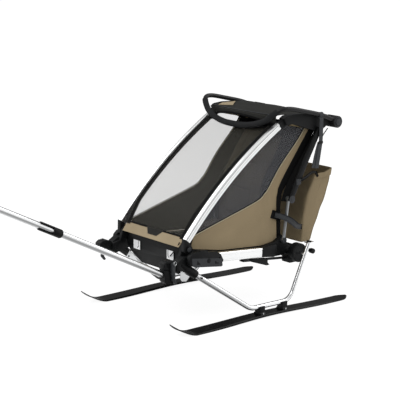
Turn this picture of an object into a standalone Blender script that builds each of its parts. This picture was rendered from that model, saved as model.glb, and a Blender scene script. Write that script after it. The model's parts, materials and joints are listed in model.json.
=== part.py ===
# Single-seat child trailer on skis, with a pull pole, built as an assembly of separate pieces.
# Metres, +Z up. Its front faces -Y and its left side faces +X.

import math

import bmesh
import bpy
from mathutils import Matrix, Vector

# Driving dimensions: places in the side view are (y, z), with y = 0 at the middle of the skis.
GAP = 0.0003
MERGE = 0.00005

SKI_SPACING = 0.776
SKI_LENGTH = 1.20
SKI_THICKNESS = 0.012
SKI_CAMBER = 0.008
SKI_TIP_LENGTH = 0.140
SKI_TIP_RISE = 0.068
SKI_SHOVEL_WIDTH = 0.095
SKI_WAIST_WIDTH = 0.075
SKI_TAIL_WIDTH = 0.085
SKI_REST_LENGTH = 0.070
SADDLE_HEIGHT = 0.024
SADDLE_LENGTH = 0.034
SADDLE_WALL = 0.007
SADDLE_PLACES = (-0.014, 0.140)

STRUT_TUBE_RADIUS = 0.0125
STRUT_FRONT_RADIUS = 0.0145
STRUT_REAR_RADIUS = 0.0108
STRUT_HEEL_Y = -0.078
STRUT_TOE_Y = 0.190
STRUT_TOP = (0.324, 0.350)
STRUT_BEND_RADIUS = 0.075
STRUT_AXLE_RADIUS = 0.009
STRUT_AXLE_DEPTH = 0.024
BOOT_START = (-0.455, 0.334)
BOOT_END = (-0.361, 0.264)
BOOT_START_OUTSET = 0.0185
BOOT_END_OUTSET = 0.0280
BOOT_RADIUS = 0.0215
BOOT_SOCKET_DEPTH = 0.034

FRAME_INNER_WIDTH = 0.525
UPRIGHT_WIDTH = 0.026
UPRIGHT_DEPTH = 0.038
UPRIGHT_BOW = 0.054
UPRIGHT_FOOT = (-0.412, 0.447)
UPRIGHT_TOP = (0.2235, 0.985)
FRONT_PIVOT = (-0.405, 0.402)
REAR_PIVOT = (0.225, 0.357)
KNUCKLE = (0.258, 0.575)
UPPER_PIVOT = (0.453, 0.926)
HUB = (0.567, 0.958)
HUB_RADIUS = 0.032
HUB_BOSS_LENGTH = 0.028
HUB_RING_WIDTH = 0.0345
PIVOT_PIN_RADIUS = 0.006
PIVOT_EYE_RADIUS = 0.013
SHOE_RADIUS = 0.026

RAIL_WIDTH = 0.030
RAIL_HEIGHT = 0.050
RAIL_FRONT = (-0.3997, 0.348)
RAIL_REAR = (0.0727, 0.312)
CASTING_WIDTH = 0.021
CHEEK_THICKNESS = 0.018
CROSS_TUBE_RADIUS = 0.0125
FRONT_CROSS_TUBE = (-0.385, 0.334)
AXLE_TUBE = (0.315, 0.256)
HUB_TUBE_RADIUS = 0.014
HOUSING_CENTRE = (0.290, 0.288)
HOUSING_RADIUS = 0.051
HOUSING_LENGTH = 0.0435
HOUSING_ARM_TOP = 0.268
HOUSING_ARM_HEIGHT = 0.034

LOWER_STRUT_WIDTH = 0.0190
UPPER_STRUT_WIDTH = 0.0190
LOWER_STRUT_RADIUS = 0.0090
UPPER_STRUT_RADIUS = 0.0080
KNUCKLE_RADIUS = 0.019

HANDLE_TUBE_RADIUS = 0.012
HANDLE_GRIP_RADIUS = 0.016
HANDLE_CORNER = (0.186, 1.052)
HANDLE_FRONT = (0.122, 0.9515)
HANDLE_GRIP_SPAN = 0.410
BUTTON_RADIUS = 0.020
BUTTON_RECESS = 0.012
BUTTON_TRAVEL = 0.005

POLE_OUTSET = 0.0135
POLE_ROOT = (-0.557, 0.294)
POLE_ANGLE = math.radians(26.5)
POLE_RADIUS = 0.016
POLE_FRONT_END = -1.998
POLE_LOWER_LENGTH = 0.700
POLE_SOCKET_DEPTH = 0.046
COLLAR_RADIUS = 0.0215
COLLAR_LENGTH = 0.135
COLLAR_OVERLAP = 0.035
COLLAR_FORK = 0.070
END_CAP_LENGTH = 0.052
END_TAB_HEIGHT = 0.024

DOCK_WIDTH = 0.031
DOCK_BUTTON_RADIUS = 0.0125
DOCK_BUTTON_PLACE = (-0.310, 0.338)
LEAF_WIDTH = 0.024
LEAF_THICKNESS = 0.008
LEAF_START = (-0.055, 0.2900)
LEAF_DROP = 0.028
SLIDER_FRONT = 0.000
SLIDER_REAR = 0.112
SLIDER_WALL = 0.002
HITCH_WIDTH = 0.048
HITCH_REAR = (-0.4935, 0.3070)
HITCH_FRONT = (-0.5660, 0.3220)
FOOT_BOTTOM = 0.246
LEVER_PIVOT = (-0.518, 0.345)
LEVER_WIDTH = 0.014

BRAKE_BAR_REACH = 0.122
BRAKE_BAR_OUTSET = 0.0225
BRAKE_ARM_INSET = 0.0575
BRAKE_BAR_RADIUS = 0.009

CLOTH = 0.004
STRAP_THICKNESS = 0.003
STRAP_WIDTH = 0.026
COVER_START = -0.050
COVER_FOOT_INSET = 0.0225
COVER_END = 0.915
CABIN_REAR = ((0.214, 0.357), (0.200, 0.576), (0.226, 0.655), (0.341, 0.814), (0.431, 0.933))
CABIN_REAR_DEPTHS = (0.020, 0.034, 0.052, 0.056, 0.048)
FLOOR_FRONT = (-0.366, 0.314)
FLOOR_REAR = (0.206, 0.292)
FLOOR_WALL_TOP = 0.343
CANOPY_LIP = (0.148, 1.004)
CANOPY_LINE = (
    (0.150, 1.019), (0.215, 1.020), (0.290, 1.018), (0.400, 1.017), (0.480, 1.004), (0.530, 0.986),
)
CANOPY_BOW = 0.045
CANOPY_CROWN = 0.006
REFLECTOR_INSET = 0.1195
REFLECTOR_HEIGHT = 0.348
REFLECTOR_SIZE = (0.048, 0.040)
SEAT_HEIGHT = 0.345
SEAT_WIDTH = 0.340
CUSHION_THICKNESS = 0.070
SEAT_BACK_FOOT_Y = 0.161
SEAT_BACK_LINE = ((0.160, 0.430), (0.177, 0.590), (0.196, 0.660), (0.268, 0.775), (0.345, 0.885))
SEAT_BACK_THICKNESS = 0.028
BAG_WIDTH = 0.400
BAG_REAR = 0.658

# What follows from the driving dimensions.
frame_in = FRAME_INNER_WIDTH / 2
frame_out = frame_in + UPRIGHT_WIDTH
cloth_out = frame_in - GAP
cloth_in = cloth_out - CLOTH
sheet_half = cloth_in - GAP
rail_in = frame_in + 0.0095
rail_out = rail_in + RAIL_WIDTH
casting_in = frame_in + 0.0015
casting_out = casting_in + CASTING_WIDTH
lower_strut_in = casting_out + GAP
lower_strut_out = lower_strut_in + LOWER_STRUT_WIDTH
upper_strut_in = lower_strut_out + GAP
upper_strut_out = upper_strut_in + UPPER_STRUT_WIDTH
arm_out = upper_strut_in - GAP
strap_in = upper_strut_out + 0.004
strap_out = strap_in + STRAP_THICKNESS
ring_in = arm_out + GAP
ring_out = ring_in + HUB_RING_WIDTH
handle_x = (ring_in + ring_out) / 2
housing_in = rail_out + 0.0105
housing_out = housing_in + HOUSING_LENGTH
pole_x = frame_in + POLE_OUTSET
hitch_in = pole_x - HITCH_WIDTH / 2
hitch_out = hitch_in + HITCH_WIDTH
boot_start = Vector((frame_in + BOOT_START_OUTSET, *BOOT_START))
boot_end = Vector((frame_in + BOOT_END_OUTSET, *BOOT_END))
boot_along = (boot_end - boot_start).normalized()
brake_half = frame_in + BRAKE_BAR_OUTSET
brake_arm_x = frame_in - BRAKE_ARM_INSET
reflector_x = frame_in - REFLECTOR_INSET
ski_x = SKI_SPACING / 2
ski_top = SKI_CAMBER + SKI_THICKNESS
strut_foot_z = ski_top + SADDLE_HEIGHT + STRUT_TUBE_RADIUS
pole_direction = Vector((0, -math.cos(POLE_ANGLE), math.sin(POLE_ANGLE)))
pole_root = Vector((pole_x, *POLE_ROOT))
end_drop = END_TAB_HEIGHT / 2 * math.sin(POLE_ANGLE)
pole_length = (POLE_ROOT[0] - POLE_FRONT_END - end_drop) / math.cos(POLE_ANGLE) - END_CAP_LENGTH
middle_y = -(POLE_FRONT_END + BAG_REAR) / 2

for item in list(bpy.data.objects):
    bpy.data.objects.remove(item, do_unlink=True)

parts = bpy.data.collections.new("child_ski_trailer")
cutters = bpy.data.collections.new("cutters")
for group in (parts, cutters):
    bpy.context.scene.collection.children.link(group)


def add_material(name, colour, roughness, metallic=0.0):
    """One Principled material of its own colour and finish."""
    material = bpy.data.materials.new(name)
    material.use_nodes = True
    shader = material.node_tree.nodes["Principled BSDF"]
    shader.inputs["Base Color"].default_value = (*colour, 1.0)
    shader.inputs["Roughness"].default_value = roughness
    shader.inputs["Metallic"].default_value = metallic
    material.diffuse_color = (*colour, 1.0)
    return material


SILVER = ((0.80, 0.81, 0.82), 0.30, 1.0)
BLACK = ((0.018, 0.018, 0.020), 0.55, 0.0)
GREY = ((0.10, 0.10, 0.11), 0.45, 0.0)
FOAM = ((0.012, 0.012, 0.013), 0.90, 0.0)
KHAKI = ((0.28, 0.22, 0.13), 0.85, 0.0)
WINDOW = ((0.05, 0.05, 0.055), 0.20, 0.0)
CANOPY = ((0.035, 0.034, 0.033), 0.85, 0.0)
SEAT = ((0.07, 0.065, 0.055), 0.90, 0.0)
SKI_BLACK = ((0.010, 0.010, 0.011), 0.30, 0.0)


def add_mesh(name, shape):
    """Make an object of a finished bmesh, with its faces turned outwards."""
    bmesh.ops.recalc_face_normals(shape, faces=shape.faces)
    mesh = bpy.data.meshes.new(name)
    shape.to_mesh(mesh)
    shape.free()
    solid = bpy.data.objects.new(name, mesh)
    parts.objects.link(solid)
    return solid


def as_mesh(source):
    """Turn a curve object into a welded mesh object of the same name and place."""
    bpy.context.view_layer.update()
    graph = bpy.context.evaluated_depsgraph_get()
    mesh = bpy.data.meshes.new_from_object(source.evaluated_get(graph))
    shape = bmesh.new()
    shape.from_mesh(mesh)
    bmesh.ops.remove_doubles(shape, verts=shape.verts, dist=MERGE)
    bmesh.ops.recalc_face_normals(shape, faces=shape.faces)
    shape.to_mesh(mesh)
    shape.free()
    name = source.name
    place = source.matrix_world.copy()
    bpy.data.objects.remove(source, do_unlink=True)
    solid = bpy.data.objects.new(name, mesh)
    solid.matrix_world = place
    parts.objects.link(solid)
    return solid


def bevel_edges(solid, width, segments=2, angle=35):
    """Round the sharp edges of a solid."""
    bevel = solid.modifiers.new("round_edges", "BEVEL")
    bevel.width = width
    bevel.segments = segments
    bevel.limit_method = "ANGLE"
    bevel.angle_limit = math.radians(angle)
    return solid


def flat_outline(name, outline, thickness, holes=()):
    """A flat outline as a filled 2D curve, extruded to its thickness."""
    curve = bpy.data.curves.new(name, "CURVE")
    curve.dimensions = "2D"
    curve.fill_mode = "BOTH"
    curve.extrude = thickness / 2
    for ring in (outline, *holes):
        spline = curve.splines.new("POLY")
        spline.points.add(len(ring) - 1)
        for point, place in zip(spline.points, ring):
            point.co = (place[0], place[1], 0, 1)
        spline.use_cyclic_u = True
    solid = bpy.data.objects.new(name, curve)
    parts.objects.link(solid)
    return solid


def side_plate(name, outline, x_low, x_high, holes=()):
    """A plate seen in the side view: outline in (y, z), thickness along X."""
    plate = flat_outline(name, outline, x_high - x_low, holes)
    plate.rotation_euler = (math.pi / 2, 0, math.pi / 2)
    plate.location = ((x_low + x_high) / 2, 0, 0)
    return as_mesh(plate)


def front_plate(name, outline, y_low, y_high):
    """A plate seen from the front: outline in (x, z), thickness along Y."""
    plate = flat_outline(name, outline, y_high - y_low)
    plate.rotation_euler = (math.pi / 2, 0, 0)
    plate.location = (0, (y_low + y_high) / 2, 0)
    return as_mesh(plate)


def block(name, low, high):
    """A box between two corners."""
    low = Vector(low)
    high = Vector(high)
    shape = bmesh.new()
    bmesh.ops.create_cube(shape, size=1.0, matrix=Matrix.Diagonal((*(high - low), 1)))
    solid = add_mesh(name, shape)
    solid.location = (low + high) / 2
    return solid


def rod(name, start, end, radius, sides=20, end_radius=None):
    """A round rod or cone between two points."""
    start = Vector(start)
    end = Vector(end)
    along = end - start
    if end_radius is None:
        end_radius = radius
    shape = bmesh.new()
    bmesh.ops.create_cone(
        shape, cap_ends=True, segments=sides, radius1=radius, radius2=end_radius, depth=along.length
    )
    solid = add_mesh(name, shape)
    solid.rotation_mode = "QUATERNION"
    solid.rotation_quaternion = along.to_track_quat("Z", "Y")
    solid.location = (start + end) / 2
    return solid


def round_corners(corners, radius, steps=3, closed=False):
    """Points along straight runs whose corners are arcs of the radius."""
    corners = [Vector(corner) for corner in corners]
    if len(corners[0]) == 2:
        corners = [corner.to_3d() for corner in corners]
    points = []
    count = len(corners)
    for index, corner in enumerate(corners):
        if not closed and index in (0, count - 1):
            points.append(corner)
            continue
        back = corners[index - 1] - corner
        ahead = corners[(index + 1) % count] - corner
        half = back.angle(ahead) / 2
        reach = min(radius / math.tan(half), back.length * 0.48, ahead.length * 0.48)
        bend = reach * math.tan(half)
        middle = (back.normalized() + ahead.normalized()).normalized()
        centre = corner + middle * (bend / math.sin(half))
        first = (corner + back.normalized() * reach - centre).normalized()
        last = (corner + ahead.normalized() * reach - centre).normalized()
        for step in range(steps + 1):
            points.append(centre + first.slerp(last, step / steps) * bend)
    return points


def smooth_path(corners, steps):
    """A smooth curve through its own points, by Catmull-Rom spans."""
    corners = [Vector(corner) for corner in corners]
    ends = [corners[0] * 2 - corners[1], *corners, corners[-1] * 2 - corners[-2]]
    points = [corners[0]]
    for a, b, c, d in zip(ends, ends[1:], ends[2:], ends[3:]):
        for step in range(1, steps + 1):
            t = step / steps
            bend = a * 2 - b * 5 + c * 4 - d
            twist = b * 3 - a - c * 3 + d
            points.append((b * 2 + (c - a) * t + bend * t ** 2 + twist * t ** 3) / 2)
    return points


def tube(name, points, radius, sides_level=4, radii=None):
    """A round tube along a path, as a curve with a bevel depth and filled caps."""
    curve = bpy.data.curves.new(name, "CURVE")
    curve.dimensions = "3D"
    curve.bevel_depth = radius
    curve.bevel_resolution = sides_level
    curve.use_fill_caps = True
    spline = curve.splines.new("POLY")
    spline.points.add(len(points) - 1)
    for index, (point, place) in enumerate(zip(spline.points, points)):
        point.co = (*place, 1)
        if radii:
            point.radius = radii[index]
    solid = bpy.data.objects.new(name, curve)
    parts.objects.link(solid)
    return solid


def loft(name, rings):
    """A closed skin through rings of equal point counts, with both ends capped."""
    shape = bmesh.new()
    rows = [[shape.verts.new(place) for place in ring] for ring in rings]
    for row, after in zip(rows, rows[1:]):
        for index in range(len(row)):
            following = (index + 1) % len(row)
            shape.faces.new((row[index], row[following], after[following], after[index]))
    shape.faces.new(list(reversed(rows[0])))
    shape.faces.new(rows[-1])
    return add_mesh(name, shape)


def boolean(solid, tool, operation):
    """Cut a solid with a tool, or join the tool to it, and put the tool among the cutters."""
    change = solid.modifiers.new(operation.lower(), "BOOLEAN")
    change.operation = operation
    change.solver = "EXACT"
    change.object = tool
    parts.objects.unlink(tool)
    cutters.objects.link(tool)
    tool.hide_render = True
    tool.display_type = "WIRE"
    return solid


def cut(solid, *tools):
    for tool in tools:
        boolean(solid, tool, "DIFFERENCE")
    return solid


def join(solid, *tools):
    for tool in tools:
        boolean(solid, tool, "UNION")
    return solid


def mirrored(solid, name):
    """The right-hand copy of a left-hand piece."""
    bpy.context.view_layer.update()
    graph = bpy.context.evaluated_depsgraph_get()
    mesh = bpy.data.meshes.new_from_object(solid.evaluated_get(graph))
    mesh.transform(Matrix.Scale(-1, 4, (1, 0, 0)) @ solid.matrix_world)
    mesh.flip_normals()
    copy = bpy.data.objects.new(name, mesh)
    parts.objects.link(copy)
    return copy


def circle(centre, radius, steps, start=0.0, sweep=2 * math.pi):
    """Points on an arc, without its closing point when it is a whole circle."""
    whole = abs(abs(sweep) - 2 * math.pi) < 1e-9
    divisions = steps if whole else steps - 1
    return [
        (
            centre[0] + radius * math.cos(start + sweep * step / divisions),
            centre[1] + radius * math.sin(start + sweep * step / divisions),
        )
        for step in range(steps)
    ]


# The bowed line that both uprights, the front cover and the side panels follow.
foot = Vector(UPRIGHT_FOOT)
top = Vector(UPRIGHT_TOP)
chord = top - foot
bow_radius = (chord.length ** 2 / 4 + UPRIGHT_BOW ** 2) / (2 * UPRIGHT_BOW)
chord_out = Vector((-chord.y, chord.x)).normalized()
bow_centre = (foot + top) / 2 - chord_out * (bow_radius - UPRIGHT_BOW)
bow_start = math.atan2(foot.y - bow_centre.y, foot.x - bow_centre.x)
bow_end = math.atan2(top.y - bow_centre.y, top.x - bow_centre.x)


def upright_line(share, offset=0.0):
    """A point on the bowed line, share of the way up it and offset outwards from it."""
    angle = bow_start + (bow_end - bow_start) * share
    reach = bow_radius + offset
    return Vector((bow_centre.x + reach * math.cos(angle), bow_centre.y + reach * math.sin(angle)))


def ski_section(y, half_width, low, thickness):
    """One cross-section of a ski, with a narrower top face."""
    shoulder = min(0.004, half_width * 0.4)
    high = low + thickness
    side = low + thickness * 0.6
    return [
        (ski_x - half_width, y, low),
        (ski_x + half_width, y, low),
        (ski_x + half_width, y, side),
        (ski_x + half_width - shoulder, y, high),
        (ski_x - half_width + shoulder, y, high),
        (ski_x - half_width, y, side),
    ]


def ski_half_width(share):
    """Side-cut from the shovel through the waist to the tail, narrowing to both points."""
    shovel = SKI_SHOVEL_WIDTH / 2
    waist = SKI_WAIST_WIDTH / 2
    tail = SKI_TAIL_WIDTH / 2
    if share < 0.12:
        return 0.006 + (shovel - 0.006) * math.sin(share / 0.12 * math.pi / 2) ** 0.8
    if share > 0.955:
        return 0.010 + (tail - 0.010) * math.cos((share - 0.955) / 0.045 * math.pi / 2)
    if share < 0.55:
        blend = (1 - math.cos((share - 0.12) / 0.43 * math.pi)) / 2
        return shovel + (waist - shovel) * blend
    blend = (1 - math.cos((share - 0.55) / 0.405 * math.pi)) / 2
    return waist + (tail - waist) * blend


def ski_base(y):
    """Height of the running base: tip, front rest, cambered middle, rear rest and tail."""
    front = -SKI_LENGTH / 2
    tip_end = front + SKI_TIP_LENGTH
    rest_end = tip_end + SKI_REST_LENGTH
    tail_start = SKI_LENGTH / 2 - 0.080
    rear_rest = tail_start - SKI_REST_LENGTH
    if y < tip_end:
        return SKI_TIP_RISE * ((tip_end - y) / SKI_TIP_LENGTH) ** 1.7
    if y < rest_end or rear_rest < y < tail_start:
        return 0.0
    if y >= tail_start:
        return 0.007 * ((y - tail_start) / 0.080) ** 2
    return SKI_CAMBER * math.sin((y - rest_end) / (rear_rest - rest_end) * math.pi) ** 2


def ski_thickness(share):
    """Thin at the tip and tail, full under the strut."""
    return 0.004 + (SKI_THICKNESS - 0.004) * math.sin(math.pi * min(max(share, 0.0), 1.0)) ** 0.7


def make_ski(name):
    """A cambered ski with two moulded saddles that hold the strut tube."""
    front = -SKI_LENGTH / 2
    rests = (
        front + SKI_TIP_LENGTH,
        front + SKI_TIP_LENGTH + SKI_REST_LENGTH,
        SKI_LENGTH / 2 - 0.080 - SKI_REST_LENGTH,
        SKI_LENGTH / 2 - 0.080,
    )
    places = [front + SKI_TIP_LENGTH * step / 7 for step in range(7)]
    places += [rests[0], rests[1]]
    places += [rests[1] + (rests[2] - rests[1]) * step / 14 for step in range(1, 14)]
    places += [rests[2], rests[3]]
    places += [rests[3] + 0.080 * step / 6 for step in range(1, 7)]
    rings = []
    for y in places:
        share = (y - front) / SKI_LENGTH
        rings.append(ski_section(y, ski_half_width(share), ski_base(y), ski_thickness(share)))
    ski = loft(name, rings)
    half = STRUT_TUBE_RADIUS + GAP + SADDLE_WALL
    for index, y in enumerate(SADDLE_PLACES):
        outline = [
            (ski_x - half - 0.006, ski_top - 0.004),
            (ski_x + half + 0.006, ski_top - 0.004),
            (ski_x + half, strut_foot_z - STRUT_TUBE_RADIUS),
            (ski_x + half, strut_foot_z + 0.005),
            (ski_x - half, strut_foot_z + 0.005),
            (ski_x - half, strut_foot_z - STRUT_TUBE_RADIUS),
        ]
        saddle = front_plate(f"{name}_saddle_{index}", outline, y - SADDLE_LENGTH / 2, y + SADDLE_LENGTH / 2)
        join(ski, saddle)
    channel_start = (ski_x, SADDLE_PLACES[0] - SADDLE_LENGTH, strut_foot_z)
    channel_end = (ski_x, SADDLE_PLACES[1] + SADDLE_LENGTH, strut_foot_z)
    channel = rod(f"{name}_channel", channel_start, channel_end, STRUT_TUBE_RADIUS + GAP * 2, 12)
    mouth = block(
        f"{name}_mouth",
        (ski_x - STRUT_TUBE_RADIUS - GAP * 2, channel_start[1], strut_foot_z),
        (ski_x + STRUT_TUBE_RADIUS + GAP * 2, channel_end[1], strut_foot_z + STRUT_TUBE_RADIUS * 2),
    )
    return cut(ski, channel, mouth)


def make_strut(name):
    """Bent strut tube: from the boot, down and out to the ski, along it and up to the axle."""
    corners = [
        boot_end - boot_along * (BOOT_SOCKET_DEPTH - GAP),
        boot_end + boot_along * 0.036,
        (ski_x, STRUT_HEEL_Y, strut_foot_z),
        (ski_x, STRUT_TOE_Y, strut_foot_z),
        (ski_x, STRUT_TOP[0], STRUT_TOP[1]),
    ]
    path = round_corners(corners, STRUT_BEND_RADIUS, 6)
    radii = []
    for place in path:
        if place.y < STRUT_HEEL_Y:
            share = min(1.0, max(0.0, (STRUT_HEEL_Y - place.y) / 0.06))
            radii.append(1 + (STRUT_FRONT_RADIUS / STRUT_TUBE_RADIUS - 1) * share)
        else:
            share = min(1.0, max(0.0, (place.y - STRUT_TOE_Y + 0.03) / 0.06))
            radii.append(1 + (STRUT_REAR_RADIUS / STRUT_TUBE_RADIUS - 1) * share)
    strut = as_mesh(tube(name, path, STRUT_TUBE_RADIUS, 4, radii))
    rise = (HOUSING_CENTRE[1] - strut_foot_z) / (STRUT_TOP[1] - strut_foot_z)
    axle_y = STRUT_TOE_Y + (STRUT_TOP[0] - STRUT_TOE_Y) * rise
    axle_start = (housing_out - STRUT_AXLE_DEPTH + GAP, axle_y, HOUSING_CENTRE[1])
    axle = rod(f"{name}_axle", axle_start, (ski_x, axle_y, HOUSING_CENTRE[1]), STRUT_AXLE_RADIUS, 16)
    plate_low = (ski_x - 0.020, STRUT_TOP[0] - 0.016, STRUT_TOP[1] - 0.006)
    plate_high = (ski_x + 0.010, STRUT_TOP[0] + 0.030, STRUT_TOP[1] - 0.001)
    return join(strut, axle, block(f"{name}_plate", plate_low, plate_high)), axle_y


def make_boot(name):
    """Tapered boot that grips the strut's front end."""
    boot = rod(name, boot_start, boot_end, BOOT_RADIUS * 1.12, 16, BOOT_RADIUS)
    socket_start = boot_end - boot_along * BOOT_SOCKET_DEPTH
    socket_end = boot_end + boot_along * 0.01
    socket = rod(f"{name}_socket", socket_start, socket_end, STRUT_FRONT_RADIUS + GAP * 2, 12)
    return cut(boot, socket)


def extrusion(name, start, end, width, height, groove):
    """A straight rail of rounded section with a groove along its outer face."""
    start = Vector(start)
    end = Vector(end)
    corner = 0.006
    half_w = width / 2
    half_h = height / 2
    outline = round_corners(
        [(-half_w, -half_h), (half_w, -half_h), (half_w, half_h), (-half_w, half_h)],
        corner,
        2,
        closed=True,
    )
    rail = flat_outline(name, outline, (end - start).length)
    rail.rotation_mode = "QUATERNION"
    along = (end - start).normalized()
    sideways = Vector((1, 0, 0))
    turn = Matrix((sideways, along.cross(sideways), along))
    rail.rotation_quaternion = turn.transposed().to_quaternion()
    rail.location = (start + end) / 2
    rail = as_mesh(rail)
    side = start.x + width / 2
    slot = side_plate(
        f"{name}_groove",
        [
            (start.y - 0.01, start.z + height * 0.20),
            (end.y + 0.01, end.z + height * 0.20),
            (end.y + 0.01, end.z + height * 0.20 + groove),
            (start.y - 0.01, start.z + height * 0.20 + groove),
        ],
        side - 0.0025,
        side + 0.002,
    )
    return cut(rail, slot)


def rail_end_point(end, clearance, z):
    """A point at height z on the plane of a rail's end, moved off it along Y by the clearance."""
    slope = (RAIL_FRONT[1] - RAIL_REAR[1]) / (RAIL_REAR[0] - RAIL_FRONT[0])
    return (end[0] + (z - end[1]) * slope + clearance, z)


def make_front_corner(name):
    """Casting at the frame's front corner: it carries the pivot, the rail, the boot and the hitch block."""
    cheek_in = frame_in - CHEEK_THICKNESS
    cheek_out = frame_in + GAP
    py, pz = FRONT_PIVOT
    cheek_outline = [
        (py - 0.024, pz - 0.010),
        *circle(FRONT_PIVOT, 0.024, 9, math.pi * 0.95, -math.pi * 0.9),
        (py + 0.022, pz - 0.020),
        (py + 0.024, pz - 0.092),
        (py - 0.075, pz - 0.112),
        (py - 0.088, pz - 0.098),
        (py - 0.086, pz - 0.058),
        (py - 0.040, pz - 0.046),
    ]
    corner = side_plate(name, cheek_outline, cheek_in, cheek_out)
    body_outline = [
        rail_end_point(RAIL_FRONT, -GAP, pz - SHOE_RADIUS - 0.004),
        rail_end_point(RAIL_FRONT, -GAP, RAIL_FRONT[1] - RAIL_HEIGHT / 2 - 0.004),
        (py - 0.075, pz - 0.112),
        (py - 0.088, pz - 0.098),
        (py - 0.086, pz - 0.058),
        (py - 0.046, pz - SHOE_RADIUS - 0.008),
    ]
    body = side_plate(f"{name}_body", body_outline, frame_in - 0.002, rail_out)
    pin = rod(f"{name}_pin", (cheek_in + 0.004, py, pz), (frame_out + 0.0065, py, pz), PIVOT_PIN_RADIUS, 16)
    cap = rod(f"{name}_cap", (frame_out + GAP, py, pz), (frame_out + 0.0065, py, pz), 0.016, 20)
    room_start = boot_start - boot_along * GAP * 2
    room = rod(f"{name}_room", room_start, boot_start + boot_along * 0.2, BOOT_RADIUS * 1.12 + GAP, 20)
    join(corner, body, pin, cap)
    return cut(corner, room)


def make_shoe(name):
    """Black shoe on the upright's foot, which turns on the front pivot."""
    along = (upright_line(0.01) - upright_line(0.0)).normalized()
    across = Vector((along.y, -along.x))
    half = UPRIGHT_DEPTH / 2 + 0.001
    seat = foot - along * GAP
    rear = seat + across * half
    front = seat - across * half
    outline = [tuple(front), tuple(rear)]
    outline += circle(FRONT_PIVOT, SHOE_RADIUS, 12, math.radians(12), -math.radians(204))
    bore = circle(FRONT_PIVOT, PIVOT_PIN_RADIUS + GAP, 16)
    return side_plate(name, outline, frame_in + GAP * 2, frame_out, (bore,))


def make_upright(name):
    """Bowed aluminium upright: a rounded section with a groove, swept along the bowed line."""
    steps = 18
    half_w = UPRIGHT_WIDTH / 2
    half_d = UPRIGHT_DEPTH / 2
    middle = frame_in + half_w
    section = [
        (-half_w, -half_d + 0.006), (-half_w + 0.006, -half_d),
        (half_w - 0.008, -half_d), (half_w, -half_d + 0.010),
        (half_w, -0.0045), (half_w - 0.0025, -0.003), (half_w - 0.0025, 0.003), (half_w, 0.0045),
        (half_w, half_d - 0.010), (half_w - 0.008, half_d),
        (-half_w + 0.006, half_d), (-half_w, half_d - 0.006),
    ]
    rings = []
    for step in range(steps + 1):
        ring = []
        for across, out in section:
            place = upright_line(step / steps, out)
            ring.append((middle + across, place.x, place.y))
        rings.append(ring)
    return loft(name, rings)


def make_top_arm(name):
    """Moulded junction from the upright's top to the handlebar hub, with the inner boss."""
    along = (upright_line(1.0) - upright_line(0.99)).normalized()
    across = Vector((along.y, -along.x))
    seat = top + along * GAP
    low = seat + across * (UPRIGHT_DEPTH / 2 + 0.002)
    high = seat - across * (UPRIGHT_DEPTH / 2 + 0.002)
    hub = Vector(HUB)
    outline = [
        tuple(low),
        tuple(low + Vector((0.045, 0.004))),
        (UPPER_PIVOT[0] - 0.045, UPPER_PIVOT[1] + 0.002),
        (UPPER_PIVOT[0] - 0.016, UPPER_PIVOT[1] - 0.013),
        (UPPER_PIVOT[0] + 0.020, UPPER_PIVOT[1] - 0.013),
        (hub.x - 0.052, hub.y - 0.020),
        *circle(HUB, HUB_RADIUS, 14, math.radians(-120), math.radians(225)),
        (hub.x - 0.060, hub.y + 0.044),
        (hub.x - 0.110, hub.y + 0.054),
        (UPRIGHT_TOP[0] + 0.070, UPRIGHT_TOP[1] + 0.036),
        tuple(high + Vector((0.022, 0.012))),
        tuple(high),
    ]
    arm = side_plate(name, outline, frame_in, arm_out)
    bevel_edges(arm, 0.004, 2)
    boss_start = (frame_in - HUB_BOSS_LENGTH, *HUB)
    boss = rod(f"{name}_boss", boss_start, (frame_in + 0.01, *HUB), HUB_RADIUS - 0.004, 24)
    pin_start = (arm_out - 0.01, *UPPER_PIVOT)
    pin = rod(f"{name}_pin", pin_start, (strap_out + GAP * 2, *UPPER_PIVOT), PIVOT_PIN_RADIUS, 16)
    axle_start = (arm_out - 0.01, *HUB)
    axle = rod(f"{name}_axle", axle_start, (ring_out - BUTTON_RECESS - 0.003, *HUB), 0.010, 20)
    return join(arm, boss, pin, axle)


def make_lower_strut(name):
    """Lower link of the rear strut: a tube between two eyes."""
    middle = (lower_strut_in + lower_strut_out) / 2
    strut = rod(name, (middle, *REAR_PIVOT), (middle, *KNUCKLE), LOWER_STRUT_RADIUS, 12)
    eye_start = (lower_strut_in, *REAR_PIVOT)
    eye = rod(f"{name}_eye", eye_start, (lower_strut_out, *REAR_PIVOT), PIVOT_EYE_RADIUS, 20)
    knee_start = (lower_strut_in, *KNUCKLE)
    knee = rod(f"{name}_knee", knee_start, (lower_strut_out, *KNUCKLE), PIVOT_EYE_RADIUS, 20)
    bore_start = (lower_strut_in - 0.01, *REAR_PIVOT)
    bore_end = (lower_strut_out + 0.01, *REAR_PIVOT)
    bore = rod(f"{name}_bore", bore_start, bore_end, PIVOT_PIN_RADIUS + GAP, 16)
    join(strut, eye, knee)
    return cut(strut, bore)


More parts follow.
